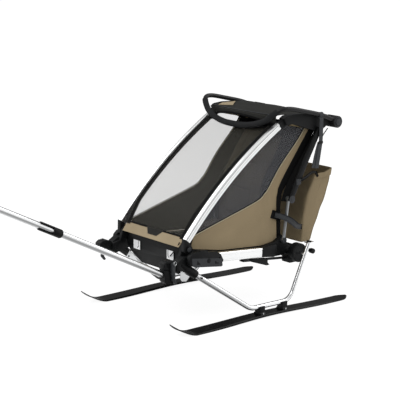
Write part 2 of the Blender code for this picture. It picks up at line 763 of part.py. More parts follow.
def make_upper_strut(name):
    """Upper link of the rear strut, with the knuckle housing that locks beside the lower link."""
    middle = (upper_strut_in + upper_strut_out) / 2
    upper = Vector(UPPER_PIVOT)
    knee = Vector(KNUCKLE)
    along = (upper - knee).normalized()
    across = Vector((along.y, -along.x))
    strut = rod(name, (middle, *knee), (middle, *upper), UPPER_STRUT_RADIUS, 12)
    first_angle = math.atan2(along.y, along.x) - math.radians(80)
    outline = [
        tuple(knee + along * 0.072 + across * 0.010),
        tuple(knee + along * 0.030 + across * 0.017),
        *circle(KNUCKLE, KNUCKLE_RADIUS, 9, first_angle, -math.radians(200)),
        tuple(knee + along * 0.030 - across * 0.017),
        tuple(knee + along * 0.072 - across * 0.010),
    ]
    housing = side_plate(f"{name}_housing", outline, upper_strut_in, upper_strut_out)
    bevel_edges(housing, 0.003, 2)
    eye = rod(f"{name}_eye", (upper_strut_in, *upper), (upper_strut_out, *upper), PIVOT_EYE_RADIUS, 20)
    bore_start = (upper_strut_in - 0.01, *upper)
    bore_end = (upper_strut_out + 0.01, *upper)
    bore = rod(f"{name}_bore", bore_start, bore_end, PIVOT_PIN_RADIUS + GAP, 16)
    join(strut, housing, eye)
    return cut(strut, bore)


def make_rear_casting(name):
    """Casting that continues the rail and carries the rear pivot."""
    ry, rz = REAR_PIVOT
    rail_top = RAIL_REAR[1] + RAIL_HEIGHT / 2
    rail_bottom = RAIL_REAR[1] - RAIL_HEIGHT / 2
    low = rail_end_point(RAIL_REAR, GAP, rail_bottom)
    high = rail_end_point(RAIL_REAR, GAP, rail_top)
    outline = [
        low,
        (ry - 0.065, rz - 0.083),
        (ry - 0.010, rz - 0.084),
        (ry + 0.052, rz - 0.070),
        (ry + 0.058, rz - 0.045),
        (ry + 0.024, rz - 0.014),
        *circle(REAR_PIVOT, 0.024, 9, math.radians(-20), math.radians(180)),
        (ry - 0.050, rz - 0.006),
        high,
    ]
    casting = side_plate(name, outline, casting_in, casting_out)
    socket_outline = [
        rail_end_point(RAIL_REAR, GAP * 2, rail_bottom + 0.0007),
        (ry - 0.067, rz - 0.081),
        (ry - 0.046, rz - 0.050),
        (ry - 0.052, rz - 0.014),
        rail_end_point(RAIL_REAR, GAP * 2, rail_top + 0.0007),
    ]
    socket = side_plate(f"{name}_socket", socket_outline, casting_in + 0.002, rail_out)
    bevel_edges(socket, 0.003, 2)
    pin_start = (casting_out - 0.006, ry, rz)
    pin = rod(f"{name}_pin", pin_start, (lower_strut_out + GAP * 0.5, ry, rz), PIVOT_PIN_RADIUS, 16)
    return join(casting, socket, pin)


def make_housing(name, axle_y):
    """Axle housing: the round receptacle outside and the arm below the casting."""
    hy, hz = HOUSING_CENTRE
    housing = rod(name, (housing_in, hy, hz), (housing_out, hy, hz), HOUSING_RADIUS, 28)
    bevel_edges(housing, 0.004, 2)
    arm_top = HOUSING_ARM_TOP
    arm_outline = round_corners(
        [
            (hy - HOUSING_RADIUS, arm_top - HOUSING_ARM_HEIGHT),
            (AXLE_TUBE[0] + 0.024, arm_top - HOUSING_ARM_HEIGHT),
            (AXLE_TUBE[0] + 0.024, arm_top),
            (hy - HOUSING_RADIUS, arm_top),
        ],
        0.008,
        2,
        closed=True,
    )
    arm = side_plate(f"{name}_arm", arm_outline, frame_in + 0.0075, housing_in + 0.012)
    bore_start = (housing_out - STRUT_AXLE_DEPTH, axle_y, hz)
    bore = rod(f"{name}_bore", bore_start, (housing_out + 0.01, axle_y, hz), STRUT_AXLE_RADIUS + GAP, 16)
    rim_start = (housing_out - 0.004, hy, hz)
    rim = rod(f"{name}_rim", rim_start, (housing_out + 0.01, hy, hz), HOUSING_RADIUS - 0.012, 24)
    join(housing, arm)
    return cut(housing, rim, bore)


def rail_line(y):
    """Height of the rail's centre line."""
    share = (y - RAIL_FRONT[0]) / (RAIL_REAR[0] - RAIL_FRONT[0])
    return RAIL_FRONT[1] + (RAIL_REAR[1] - RAIL_FRONT[1]) * share


def leaf_top(y):
    """Height of the leaf spring's upper face, straight from the rail to the axle housing."""
    end_y = HOUSING_CENTRE[0] - HOUSING_RADIUS - GAP
    return LEAF_START[1] - LEAF_DROP * (y - LEAF_START[0]) / (end_y - LEAF_START[0])


def make_leaf(name):
    """Flat leaf spring under the rail, anchored at its front and held behind by the housing."""
    end_y = HOUSING_CENTRE[0] - HOUSING_RADIUS - GAP
    start_y, start_z = LEAF_START
    outline = [
        (start_y, start_z),
        (end_y, leaf_top(end_y)),
        (end_y, leaf_top(end_y) - LEAF_THICKNESS),
        (start_y, start_z - LEAF_THICKNESS),
        (start_y - 0.010, start_z - LEAF_THICKNESS / 2),
    ]
    middle = frame_in + 0.0255
    leaf = side_plate(name, outline, middle - LEAF_WIDTH / 2, middle + LEAF_WIDTH / 2)
    anchor_start = start_y + 0.004
    anchor_end = SLIDER_FRONT - 0.012
    under = RAIL_HEIGHT / 2 + GAP * 2
    anchor_outline = [
        (anchor_start, start_z - LEAF_THICKNESS / 2),
        (anchor_end, leaf_top(anchor_end) - LEAF_THICKNESS / 2),
        (anchor_end, rail_line(anchor_end) - under),
        (anchor_start, rail_line(anchor_start) - under),
    ]
    anchor_half = LEAF_WIDTH / 2 - 0.001
    anchor = side_plate(f"{name}_anchor", anchor_outline, middle - anchor_half, middle + anchor_half)
    return join(leaf, anchor)


def make_slider(name):
    """Wedge-shaped slider that sets the spring's stiffness: a sleeve round the leaf."""
    middle = frame_in + 0.0255
    half = LEAF_WIDTH / 2 + GAP
    front = SLIDER_FRONT
    rear = SLIDER_REAR
    outline = [
        (front, leaf_top(front) + SLIDER_WALL),
        (rear - 0.004, leaf_top(rear) + SLIDER_WALL),
        (rear, leaf_top(rear) + SLIDER_WALL - 0.004),
        (rear, leaf_top(rear) - LEAF_THICKNESS - 0.012),
        (rear + 0.013, leaf_top(rear) - LEAF_THICKNESS - 0.026),
        (rear - 0.008, leaf_top(rear) - LEAF_THICKNESS - 0.027),
        (front, leaf_top(front) - LEAF_THICKNESS - SLIDER_WALL),
    ]
    slider = side_plate(name, outline, middle - half - SLIDER_WALL, middle + half + SLIDER_WALL)
    window_outline = [
        (front - 0.03, leaf_top(front - 0.03) + GAP),
        (rear + 0.03, leaf_top(rear + 0.03) + GAP),
        (rear + 0.03, leaf_top(rear + 0.03) - LEAF_THICKNESS - GAP),
        (front - 0.03, leaf_top(front - 0.03) - LEAF_THICKNESS - GAP),
    ]
    window = side_plate(f"{name}_window", window_outline, middle - half, middle + half)
    return cut(slider, window)


def make_dock(name):
    """Receptacle box on the rail's outer face, with its latch, button hole and recesses."""
    x_in = rail_out + GAP
    outline = [
        (-0.436, 0.345), (-0.428, 0.372), (-0.408, 0.391), (-0.372, 0.391),
        (-0.362, 0.397), (-0.322, 0.394), (-0.312, 0.383), (-0.255, 0.377),
        (-0.230, 0.360), (-0.212, 0.326), (-0.226, 0.306), (-0.300, 0.306),
        (-0.395, 0.317), (-0.428, 0.328),
    ]
    dock = side_plate(name, outline, x_in, x_in + DOCK_WIDTH)
    bevel_edges(dock, 0.004, 2)
    face = x_in + DOCK_WIDTH
    button_hole = rod(
        f"{name}_hole",
        (face - 0.014, *DOCK_BUTTON_PLACE),
        (face + 0.01, *DOCK_BUTTON_PLACE),
        DOCK_BUTTON_RADIUS + GAP,
        20,
    )
    wedge_outline = [(-0.372, 0.330), (-0.348, 0.327), (-0.350, 0.352)]
    wedge = side_plate(f"{name}_wedge", wedge_outline, face - 0.006, face + 0.01)
    hook_outline = [
        (-0.262, 0.326), (-0.240, 0.324), (-0.238, 0.345),
        (-0.245, 0.346), (-0.246, 0.333), (-0.262, 0.335),
    ]
    hook = side_plate(f"{name}_hook", hook_outline, face - 0.006, face + 0.01)
    return cut(dock, button_hole, wedge, hook)


def make_dock_button(name):
    face = rail_out + GAP + DOCK_WIDTH
    start = (face - 0.014 + 0.005, *DOCK_BUTTON_PLACE)
    return rod(name, start, (face + 0.0015, *DOCK_BUTTON_PLACE), DOCK_BUTTON_RADIUS, 20)


def make_hitch_block(name):
    """Receptacle at the frame's nose, with the pin that its latch lever turns on."""
    py, pz = FRONT_PIVOT
    outline = [
        (HITCH_REAR[0], HITCH_REAR[1]),
        (py - 0.0865, pz - 0.0580),
        (py - 0.0865, pz - 0.0480),
        (py - 0.112, pz - 0.037),
        (HITCH_FRONT[0] + 0.014, pz - 0.038),
        (HITCH_FRONT[0] - 0.002, pz - 0.050),
        (HITCH_FRONT[0], HITCH_FRONT[1]),
    ]
    body = side_plate(name, outline, hitch_in, hitch_out)
    bevel_edges(body, 0.004, 2)
    ly, lz = LEVER_PIVOT
    pin_end = (hitch_out + LEVER_WIDTH + 0.003, ly, lz)
    pin = rod(f"{name}_pin", (hitch_out - 0.006, ly, lz), pin_end, 0.004, 12)
    recess = side_plate(
        f"{name}_recess",
        [
            (HITCH_FRONT[0] + 0.012, HITCH_FRONT[1] + 0.012),
            (HITCH_FRONT[0] + 0.034, HITCH_FRONT[1] + 0.008),
            (HITCH_FRONT[0] + 0.034, HITCH_FRONT[1] + 0.030),
            (HITCH_FRONT[0] + 0.012, HITCH_FRONT[1] + 0.034),
        ],
        hitch_out - 0.005,
        hitch_out + 0.01,
    )
    join(body, pin)
    return cut(body, recess)


def make_pole_foot(name):
    """Foot on the pole's rear end: it locks up under the left receptacle."""
    slope = (HITCH_FRONT[1] - HITCH_REAR[1]) / (HITCH_FRONT[0] - HITCH_REAR[0])
    front = HITCH_FRONT[0] + 0.003
    rear = HITCH_REAR[0] - 0.004
    under = HITCH_REAR[1] - GAP * 2
    outline = [
        (rear, under + slope * (rear - HITCH_REAR[0])),
        (front, under + slope * (front - HITCH_REAR[0])),
        (front, FOOT_BOTTOM + 0.016),
        (front + 0.012, FOOT_BOTTOM + 0.002),
        (front + 0.050, FOOT_BOTTOM),
        (rear - 0.002, FOOT_BOTTOM + 0.016),
    ]
    foot_block = side_plate(name, outline, hitch_in, hitch_out)
    bevel_edges(foot_block, 0.003, 2)
    socket = rod(
        f"{name}_socket",
        pole_root - pole_direction * POLE_SOCKET_DEPTH,
        pole_root + pole_direction * 0.05,
        POLE_RADIUS + GAP * 2,
        20,
    )
    return cut(foot_block, socket)


def make_hitch_lever(name):
    """Hanging latch lever with a wavy finger end."""
    ly, lz = LEVER_PIVOT
    x_low = hitch_out + GAP
    outline = [
        *circle(LEVER_PIVOT, 0.011, 9, 0.0, math.pi),
        (ly - 0.012, lz - 0.045),
        (ly - 0.005, lz - 0.062),
        (ly - 0.008, lz - 0.078),
        (ly + 0.010, lz - 0.100),
        (ly + 0.020, lz - 0.096),
        (ly + 0.008, lz - 0.076),
        (ly + 0.010, lz - 0.058),
        (ly + 0.009, lz - 0.040),
    ]
    bore = circle(LEVER_PIVOT, 0.004 + GAP, 12)
    return side_plate(name, outline, x_low, x_low + LEVER_WIDTH, (bore,))


def make_pole_tube(name, start, length):
    """One section of the pull pole."""
    first = pole_root + pole_direction * start
    return rod(name, first, first + pole_direction * length, POLE_RADIUS, 24)


def make_collar(name):
    """Sleeve over the pole's joint, with a U-shaped cut in each side that leaves two tines."""
    start = pole_root + pole_direction * (POLE_LOWER_LENGTH - COLLAR_OVERLAP)
    profile = [
        (COLLAR_RADIUS - 0.002, COLLAR_LENGTH),
        (COLLAR_RADIUS, COLLAR_LENGTH - 0.004),
        (COLLAR_RADIUS, 0.006),
        (COLLAR_RADIUS - 0.004, 0.0),
        (POLE_RADIUS + GAP, 0.0),
        (POLE_RADIUS + GAP, COLLAR_LENGTH),
    ]
    shape = bmesh.new()
    ring = [shape.verts.new((radius, 0, height)) for radius, height in profile]
    for first, second in zip(ring, ring[1:] + ring[:1]):
        shape.edges.new((first, second))
    mesh = bpy.data.meshes.new(name)
    shape.to_mesh(mesh)
    shape.free()
    collar = bpy.data.objects.new(name, mesh)
    parts.objects.link(collar)
    turning = collar.modifiers.new("turn", "SCREW")
    turning.axis = "Z"
    turning.steps = 24
    turning.render_steps = 24
    turning.use_merge_vertices = True
    turning.merge_threshold = MERGE
    turning.use_normal_calculate = True
    collar.rotation_mode = "QUATERNION"
    collar.rotation_quaternion = pole_direction.to_track_quat("Z", "Y")
    collar.location = start
    fork_start = start + pole_direction * (COLLAR_LENGTH - COLLAR_FORK)
    half = POLE_RADIUS * 0.92
    across = Vector((0, pole_direction.z, -pole_direction.y))
    outline = []
    for angle in range(-90, 91, 20):
        turned = math.radians(angle)
        place = fork_start + across * half * math.sin(turned) - pole_direction * half * math.cos(turned)
        outline.append((place.y, place.z))
    far = fork_start + pole_direction * (COLLAR_FORK + 0.02)
    for sign in (1, -1):
        place = far + across * half * sign
        outline.append((place.y, place.z))
    fork = side_plate(f"{name}_fork", outline, pole_x - 0.05, pole_x + 0.05)
    return cut(collar, fork)


def make_pole_end(name):
    """Cap on the pole's front end, with the flat eye that a belt clips to."""
    start = pole_root + pole_direction * (pole_length + GAP)
    cap_end = start + pole_direction * 0.018
    cap = rod(name, start, cap_end, POLE_RADIUS + 0.002, 24)
    across = Vector((0, pole_direction.z, -pole_direction.y))
    reach = END_CAP_LENGTH - GAP
    outline = []
    half = END_TAB_HEIGHT / 2
    corners = [(0.010, -half), (reach, -half), (reach, half), (0.010, half)]
    for along, side in corners:
        place = start + pole_direction * along + across * side
        outline.append((place.y, place.z))
    tab = side_plate(f"{name}_tab", outline, pole_x - 0.005, pole_x + 0.005)
    eye_centre = start + pole_direction * (reach - 0.014)
    reach_aside = Vector((0.02, 0, 0))
    eye = rod(f"{name}_eye", eye_centre - reach_aside, eye_centre + reach_aside, 0.0065, 16)
    join(cap, tab)
    return cut(cap, eye)


def handle_path():
    """Path of the handlebar tube, from the left hub forward, across and back."""
    hub = Vector(HUB)
    corner_y, corner_z = HANDLE_CORNER
    front_y, front_z = HANDLE_FRONT
    grip = HANDLE_GRIP_SPAN / 2
    left = [
        (handle_x, hub.x - 0.020, hub.y + 0.012),
        (handle_x, hub.x - 0.112, hub.y + 0.047),
        (handle_x, hub.x - 0.227, hub.y + 0.076),
        (handle_x, corner_y + 0.054, corner_z + 0.004),
        (handle_x - 0.013, corner_y, corner_z),
        (frame_out - 0.0185, front_y + 0.036, front_z + 0.0705),
        (grip + 0.020, front_y + 0.024, front_z + 0.0365),
        (grip * 0.70, front_y + 0.010, front_z + 0.0115),
        (grip * 0.25, front_y + 0.001, front_z + 0.001),
    ]
    return left + [(-x, y, z) for x, y, z in reversed(left)]


def make_handlebar(name):
    """Bent handlebar tube with a hub ring at each end."""
    corners = handle_path()
    path = smooth_path(corners, 3)
    bar = as_mesh(tube(name, path, HANDLE_TUBE_RADIUS, 3))
    for side in (1, -1):
        ring = rod(f"{name}_ring_{side}", (side * ring_in, *HUB), (side * ring_out, *HUB), HUB_RADIUS, 28)
        join(bar, ring)
    for side in (1, -1):
        recess_start = side * (ring_out - BUTTON_RECESS)
        recess_end = (side * (ring_out + 0.01), *HUB)
        recess = rod(f"{name}_recess_{side}", (recess_start, *HUB), recess_end, BUTTON_RADIUS + GAP, 24)
        bore_start = (side * (ring_in - 0.01), *HUB)
        bore_end = (recess_start + side * 0.001, *HUB)
        bore = rod(f"{name}_bore_{side}", bore_start, bore_end, 0.010 + GAP, 20)
        cut(bar, recess, bore)
    return bar


def make_grip(name):
    """Foam sleeve round the handlebar's cross piece."""
    corners = handle_path()
    path = smooth_path(corners, 3)
    first = 13
    run = path[first : len(path) - first]
    sleeve = as_mesh(tube(name, run, HANDLE_GRIP_RADIUS, 4))
    core = as_mesh(tube(f"{name}_core", path, HANDLE_TUBE_RADIUS + GAP, 3))
    return cut(sleeve, core)


def make_hub_button(name):
    start = ring_out - BUTTON_RECESS + BUTTON_TRAVEL + 0.001
    return rod(name, (start, *HUB), (ring_out + 0.006, *HUB), BUTTON_RADIUS, 24, BUTTON_RADIUS - 0.001)


def make_floor(name):
    """Moulded floor pan with side walls and the raised seat platform."""
    front_y, front_z = FLOOR_FRONT
    rear_y, rear_z = FLOOR_REAR
    step_y = -0.070
    slope = (rear_z - front_z) / (rear_y - front_y)
    outer = [
        (front_y, front_z),
        (rear_y, rear_z),
        (rear_y, SEAT_HEIGHT),
        (step_y + 0.004, SEAT_HEIGHT),
        (step_y, FLOOR_WALL_TOP),
        (front_y, FLOOR_WALL_TOP),
    ]
    half = sheet_half
    pan = side_plate(name, outer, -half, half)
    hollow_outline = [
        (front_y + CLOTH, front_z + CLOTH),
        (step_y - CLOTH, front_z + CLOTH + slope * (step_y - front_y)),
        (step_y - CLOTH, SEAT_HEIGHT + 0.02),
        (front_y + CLOTH, SEAT_HEIGHT + 0.02),
    ]
    hollow = side_plate(f"{name}_hollow", hollow_outline, -half + CLOTH, half - CLOTH)
    under_outline = [
        (step_y, rear_z - 0.020),
        (rear_y - CLOTH, rear_z - 0.020),
        (rear_y - CLOTH, SEAT_HEIGHT - CLOTH),
        (step_y, SEAT_HEIGHT - CLOTH),
    ]
    under = side_plate(f"{name}_under", under_outline, -half + CLOTH, half - CLOTH)
    return cut(pan, hollow, under)


def make_front_panel(name):
    """Moulded nose panel below the front cover, with two raised reflector frames."""
    half = [
        (frame_in - 0.1525, 0.256), (frame_in - 0.0575, 0.300),
        (frame_in - 0.0285, 0.330), (frame_in - 0.0385, 0.402),
    ]
    outline = [(-x, z) for x, z in reversed(half)] + half
    rear = FRONT_CROSS_TUBE[0] - CROSS_TUBE_RADIUS - GAP
    panel = front_plate(name, outline, rear - 0.008, rear)
    bevel_edges(panel, 0.002, 1)
    wide, tall = (size / 2 for size in REFLECTOR_SIZE)
    for side in (1, -1):
        middle = side * reflector_x
        corners = [
            (middle - wide, REFLECTOR_HEIGHT - tall), (middle + wide, REFLECTOR_HEIGHT - tall),
            (middle + wide, REFLECTOR_HEIGHT + tall), (middle - wide, REFLECTOR_HEIGHT + tall),
        ]
        frame_outline = round_corners(corners, 0.007, 2, closed=True)
        frame = front_plate(f"{name}_reflector_{side}", frame_outline, rear - 0.012, rear - 0.004)
        join(panel, frame)
    return panel


def make_side_panel(name):
    """Taut side wall between the upright, the rail and the cabin's rear edge."""
    steps = 12
    front_edge = [tuple(upright_line(0.05 + 0.93 * step / steps, -0.004)) for step in range(steps + 1)]
    outline = [
        *front_edge,
        (CABIN_REAR[4][0] - 0.060, CABIN_REAR[4][1] + 0.024),
        CABIN_REAR[4],
        CABIN_REAR[3],
        CABIN_REAR[2],
        CABIN_REAR[1],
        CABIN_REAR[0],
        (0.186, 0.346), (0.100, 0.340), (-0.169, 0.358), (-0.340, 0.374), (-0.372, 0.392), (-0.372, 0.440),
    ]
    return side_plate(name, outline, cloth_in, cloth_out)


def make_front_cover(name):
    """Curved front window and its lower band, bowed with the uprights."""
    steps = 14
    foot_half = frame_in - COVER_FOOT_INSET
    rings = []
    for step in range(steps + 1):
        share = step / steps
        along = COVER_START + share * (COVER_END - COVER_START)
        outer = upright_line(along, -CLOTH)
        inner = upright_line(along, -CLOTH * 2)
        half = sheet_half - (sheet_half - foot_half) * max(0.0, 1.0 - share * 3)
        rings.append([(-half, *outer), (half, *outer), (half, *inner), (-half, *inner)])
    return loft(name, rings)


def make_canopy(name):
    """Roof sheet between the top arms: its lip hangs down in front and bows forward in the middle."""
    columns = 8
    lip_y, lip_z = CANOPY_LIP
    rings = []
    stations = [(lip_y, lip_z, CANOPY_BOW, CLOTH, 0.0)]
    for index, (y, z) in enumerate(CANOPY_LINE):
        bow = CANOPY_BOW * max(0.0, 1.0 - index / 2)
        stations.append((y, z, bow, CLOTH if index == 0 else 0.0, CLOTH))
    for y, z, bow, back, down in stations:
        ring = []
        for step in range(columns + 1):
            share = step / columns * 2 - 1
            rise = CANOPY_CROWN * math.cos(share * math.pi / 2)
            ring.append((share * cloth_out, y + bow * share ** 2, z + rise))
        rings.append(ring + [(x, y + back, z - down) for x, y, z in reversed(ring)])
    return loft(name, rings)


def make_rear_panel(name):
    """Rear wall of the cabin with black gussets that run forward to the side panels' rear edge."""
    rings = []
    for place, depth in zip(CABIN_REAR, CABIN_REAR_DEPTHS):
        edge = place[0] + GAP * 2
        back = place[0] + depth
        z = place[1]
        rings.append([
            (-cloth_out, edge, z), (-cloth_out, back, z), (cloth_out, back, z), (cloth_out, edge, z),
            (cloth_in, edge, z), (cloth_in, back - CLOTH, z),
            (-cloth_in, back - CLOTH, z), (-cloth_in, edge, z),
        ])
    return loft(name, rings)


def soft_block(name, low, high, crown, draw):
    """A cushion: a subdivided cage with a crowned face and sides drawn in between its corners."""
    low = Vector(low)
    high = Vector(high)
    shape = bmesh.new()
    bmesh.ops.create_cube(shape, size=2.0)
    bmesh.ops.subdivide_edges(shape, edges=shape.edges[:], cuts=4, use_grid_fill=True)
    for vertex in shape.verts:
        x, y, z = vertex.co
        bulge = (1 - x ** 2) * (1 - y ** 2)
        side = (1 - x ** 2) if abs(y) > 0.99 else (1 - y ** 2)
        pull = 1 - draw * side if max(abs(x), abs(y)) > 0.99 else 1.0
        rise = z + (crown * bulge if z > 0.99 else 0)
        vertex.co = (x * pull, y * pull, rise)
    half = (high - low) / 2
    bmesh.ops.transform(shape, matrix=Matrix.Diagonal((*half, 1)), verts=shape.verts)
    cushion = add_mesh(name, shape)
    cushion.location = (low + high) / 2
    softening = cushion.modifiers.new("soften", "SUBSURF")
    softening.levels = 1
    softening.render_levels = 1
    return cushion


def make_seat_back(name):
    """Padded back that stands on the seat platform and follows the rear wall."""
    foot_z = SEAT_HEIGHT + GAP
    line = [(SEAT_BACK_FOOT_Y, foot_z), *SEAT_BACK_LINE]
    spine = smooth_path([(*place, 0) for place in line], 3)
    rings = []
    columns = 8
    half = SEAT_WIDTH / 2
    for index, place in enumerate(spine):
        before = spine[max(index - 1, 0)]
        after = spine[min(index + 1, len(spine) - 1)]
        along = (after - before).normalized() if index else Vector((0, 1, 0))
        across = Vector((along.y, -along.x))
        share = index / (len(spine) - 1) * 2 - 1
        rim = 1 - 0.45 * abs(share) ** 6
        width = half * (1 - 0.08 * abs(share) ** 5)
        ring = []
        for sign in (-1, 1):
            for step in range(columns + 1):
                turn = (step if sign < 0 else columns - step) / columns * 2 - 1
                pad = SEAT_BACK_THICKNESS / 2 * rim * (1 - 0.55 * abs(turn) ** 5)
                spot = place.to_2d() + across * pad * sign
                ring.append((turn * width, spot.x, spot.y))
        rings.append(ring)
    return loft(name, rings)


def make_bag(name):
    """Cargo bag behind the cabin, held to the rear wall by two straps."""
    half = BAG_WIDTH / 2
    outline = [
        (0.540, 0.656), (0.552, 0.658), (BAG_REAR, 0.678), (0.654, 0.645), (0.642, 0.596),
        (0.619, 0.521),
        (0.574, 0.433), (0.544, 0.367), (0.522, 0.308), (0.510, 0.302), (0.457, 0.303), (0.447, 0.312),
        (0.452, 0.435), (0.484, 0.554), (0.516, 0.610),
    ]
    bag = side_plate(name, outline, -half, half)
    hollow_outline = [
        (0.550, 0.70), (BAG_REAR - 0.009, 0.70), (0.645, 0.647), (0.633, 0.599), (0.610, 0.525),
        (0.565, 0.437), (0.535, 0.371), (0.515, 0.315), (0.506, 0.311), (0.464, 0.312), (0.456, 0.318),
        (0.461, 0.433), (0.493, 0.550), (0.525, 0.606),
    ]
    hollow = side_plate(f"{name}_hollow", hollow_outline, -half + 0.008, half - 0.008)
    cut(bag, hollow)
    strap_z = 0.600
    share = (strap_z - CABIN_REAR[1][1]) / (CABIN_REAR[2][1] - CABIN_REAR[1][1])
    wall_y = CABIN_REAR[1][0] + CABIN_REAR_DEPTHS[1]
    wall_y += share * (CABIN_REAR[2][0] + CABIN_REAR_DEPTHS[2] - wall_y)
    for side in (1, -1):
        strap_x = side * (half - 0.030)
        strap = block(
            f"{name}_strap_{side}",
            (strap_x - STRAP_WIDTH / 2, wall_y + GAP * 1.2, strap_z - STRAP_THICKNESS),
            (strap_x + STRAP_WIDTH / 2, 0.514, strap_z),
        )
        join(bag, strap)
    return bag


def make_brake_bar(name):
    """Foot bar across the rear, on two arms that turn on the axle tube."""
    ay, az = AXLE_TUBE
    bar_y = ay + BRAKE_BAR_REACH
    bar_z = az + 0.008
    half = brake_half
    bar = rod(name, (-half, bar_y, bar_z), (half, bar_y, bar_z), BRAKE_BAR_RADIUS, 16)
    for side in (1, -1):
        cap_start = (side * (half - 0.004), bar_y, bar_z)
        cap_end = (side * (half + 0.018), bar_y, bar_z)
        cap = rod(f"{name}_cap_{side}", cap_start, cap_end, 0.014, 16)
        x_low = side * brake_arm_x - 0.010
        arm_outline = [
            (ay, az - 0.020), (bar_y, az - 0.004), (bar_y, az + 0.012), (ay, az + 0.018),
            *circle((ay, az), 0.020, 9, math.pi * 0.6, math.pi * 0.8),
        ]
        arm = side_plate(f"{name}_arm_{side}", arm_outline, x_low, x_low + 0.020)
        join(bar, cap, arm)
    bore_reach = brake_arm_x + 0.045
    bore = rod(f"{name}_bore", (-bore_reach, ay, az), (bore_reach, ay, az), CROSS_TUBE_RADIUS + GAP, 20)
    return cut(bar, bore)


def make_wrist_strap(name):
    """Webbing strap hanging outside the left rear strut, on the strut's top pin."""
    uy, uz = UPPER_PIVOT
    half = STRAP_WIDTH / 2
    line = [(uy - 0.002, 0.866), (uy - 0.013, 0.800), (uy - 0.027, 0.723)]
    outline = [
        *circle(UPPER_PIVOT, half, 9, math.pi, -math.pi),
        *[(y + half, z) for y, z in line],
        *[(y - half, z) for y, z in reversed(line)],
    ]
    bore = circle(UPPER_PIVOT, PIVOT_PIN_RADIUS + GAP, 16)
    return side_plate(name, outline, strap_in, strap_out, (bore,))


left_and_right = {}


def add_pair(base, left):
    """Keep a left piece and make its right-hand copy."""
    left.name = f"{base}_left"
    right = mirrored(left, f"{base}_right")
    left_and_right[base] = (left, right)


add_pair("ski", make_ski("ski_left"))
strut_left, strut_axle_y = make_strut("ski_strut_left")
add_pair("ski_strut", strut_left)
add_pair("strut_boot", make_boot("strut_boot_left"))
rail = extrusion(
    "side_rail_left",
    ((rail_in + rail_out) / 2, *RAIL_FRONT),
    ((rail_in + rail_out) / 2, *RAIL_REAR),
    RAIL_WIDTH,
    RAIL_HEIGHT,
    0.004,
)
add_pair("side_rail", rail)
add_pair("front_corner", make_front_corner("front_corner_left"))
add_pair("rear_casting", make_rear_casting("rear_casting_left"))
add_pair("axle_housing", make_housing("axle_housing_left", strut_axle_y))
add_pair("leaf_spring", make_leaf("leaf_spring_left"))
add_pair("spring_slider", make_slider("spring_slider_left"))
add_pair("dock", make_dock("dock_left"))
add_pair("dock_button", make_dock_button("dock_button_left"))
add_pair("hitch_block", make_hitch_block("hitch_block_left"))
add_pair("hitch_lever", make_hitch_lever("hitch_lever_left"))
add_pair("upright_shoe", make_shoe("upright_shoe_left"))
add_pair("upright", make_upright("upright_left"))
add_pair("top_arm", make_top_arm("top_arm_left"))
add_pair("lower_strut", make_lower_strut("lower_strut_left"))
add_pair("upper_strut", make_upper_strut("upper_strut_left"))
add_pair("hub_button", make_hub_button("hub_button_left"))
add_pair("side_panel", make_side_panel("side_panel_left"))

cheek_in = frame_in - CHEEK_THICKNESS
single = {
    "front_cross_tube": rod(
        "front_cross_tube",
        (-cheek_in + GAP, *FRONT_CROSS_TUBE),
        (cheek_in - GAP, *FRONT_CROSS_TUBE),
        CROSS_TUBE_RADIUS,
        20,
    ),
    "axle_tube": rod(
        "axle_tube",
        (-frame_in - 0.0075 + GAP, *AXLE_TUBE),
        (frame_in + 0.0075 - GAP, *AXLE_TUBE),
        CROSS_TUBE_RADIUS,
        20,
    ),
    "hub_cross_tube": rod(
        "hub_cross_tube",
        (-frame_in + HUB_BOSS_LENGTH + GAP, *HUB),
        (frame_in - HUB_BOSS_LENGTH - GAP, *HUB),
        HUB_TUBE_RADIUS,
        20,
    ),
    "pole_lower": make_pole_tube(
        "pole_lower", -POLE_SOCKET_DEPTH + GAP, POLE_LOWER_LENGTH + POLE_SOCKET_DEPTH - GAP
    ),
    "pole_upper": make_pole_tube(
        "pole_upper", POLE_LOWER_LENGTH + GAP, pole_length - POLE_LOWER_LENGTH - GAP
    ),
    "pole_collar": make_collar("pole_collar"),
    "pole_foot": make_pole_foot("pole_foot"),
    "pole_end": make_pole_end("pole_end"),
    "brake_bar": make_brake_bar("brake_bar"),
    "floor_pan": make_floor("floor_pan"),
    "front_panel": make_front_panel("front_panel"),
    "front_cover": make_front_cover("front_cover"),
    "canopy": make_canopy("canopy"),
    "rear_panel": make_rear_panel("rear_panel"),
    "seat_cushion": soft_block(
        "seat_cushion",
        (-SEAT_WIDTH / 2, -0.050, SEAT_HEIGHT + GAP),
        (SEAT_WIDTH / 2, 0.142, SEAT_HEIGHT + CUSHION_THICKNESS),
        0.35,
        0.04,
    ),
    "seat_back": make_seat_back("seat_back"),
    "rear_bag": make_bag("rear_bag"),
    "handlebar": make_handlebar("handlebar"),
    "handlebar_grip": make_grip("handlebar_grip"),
    "wrist_strap": make_wrist_strap("wrist_strap"),
}

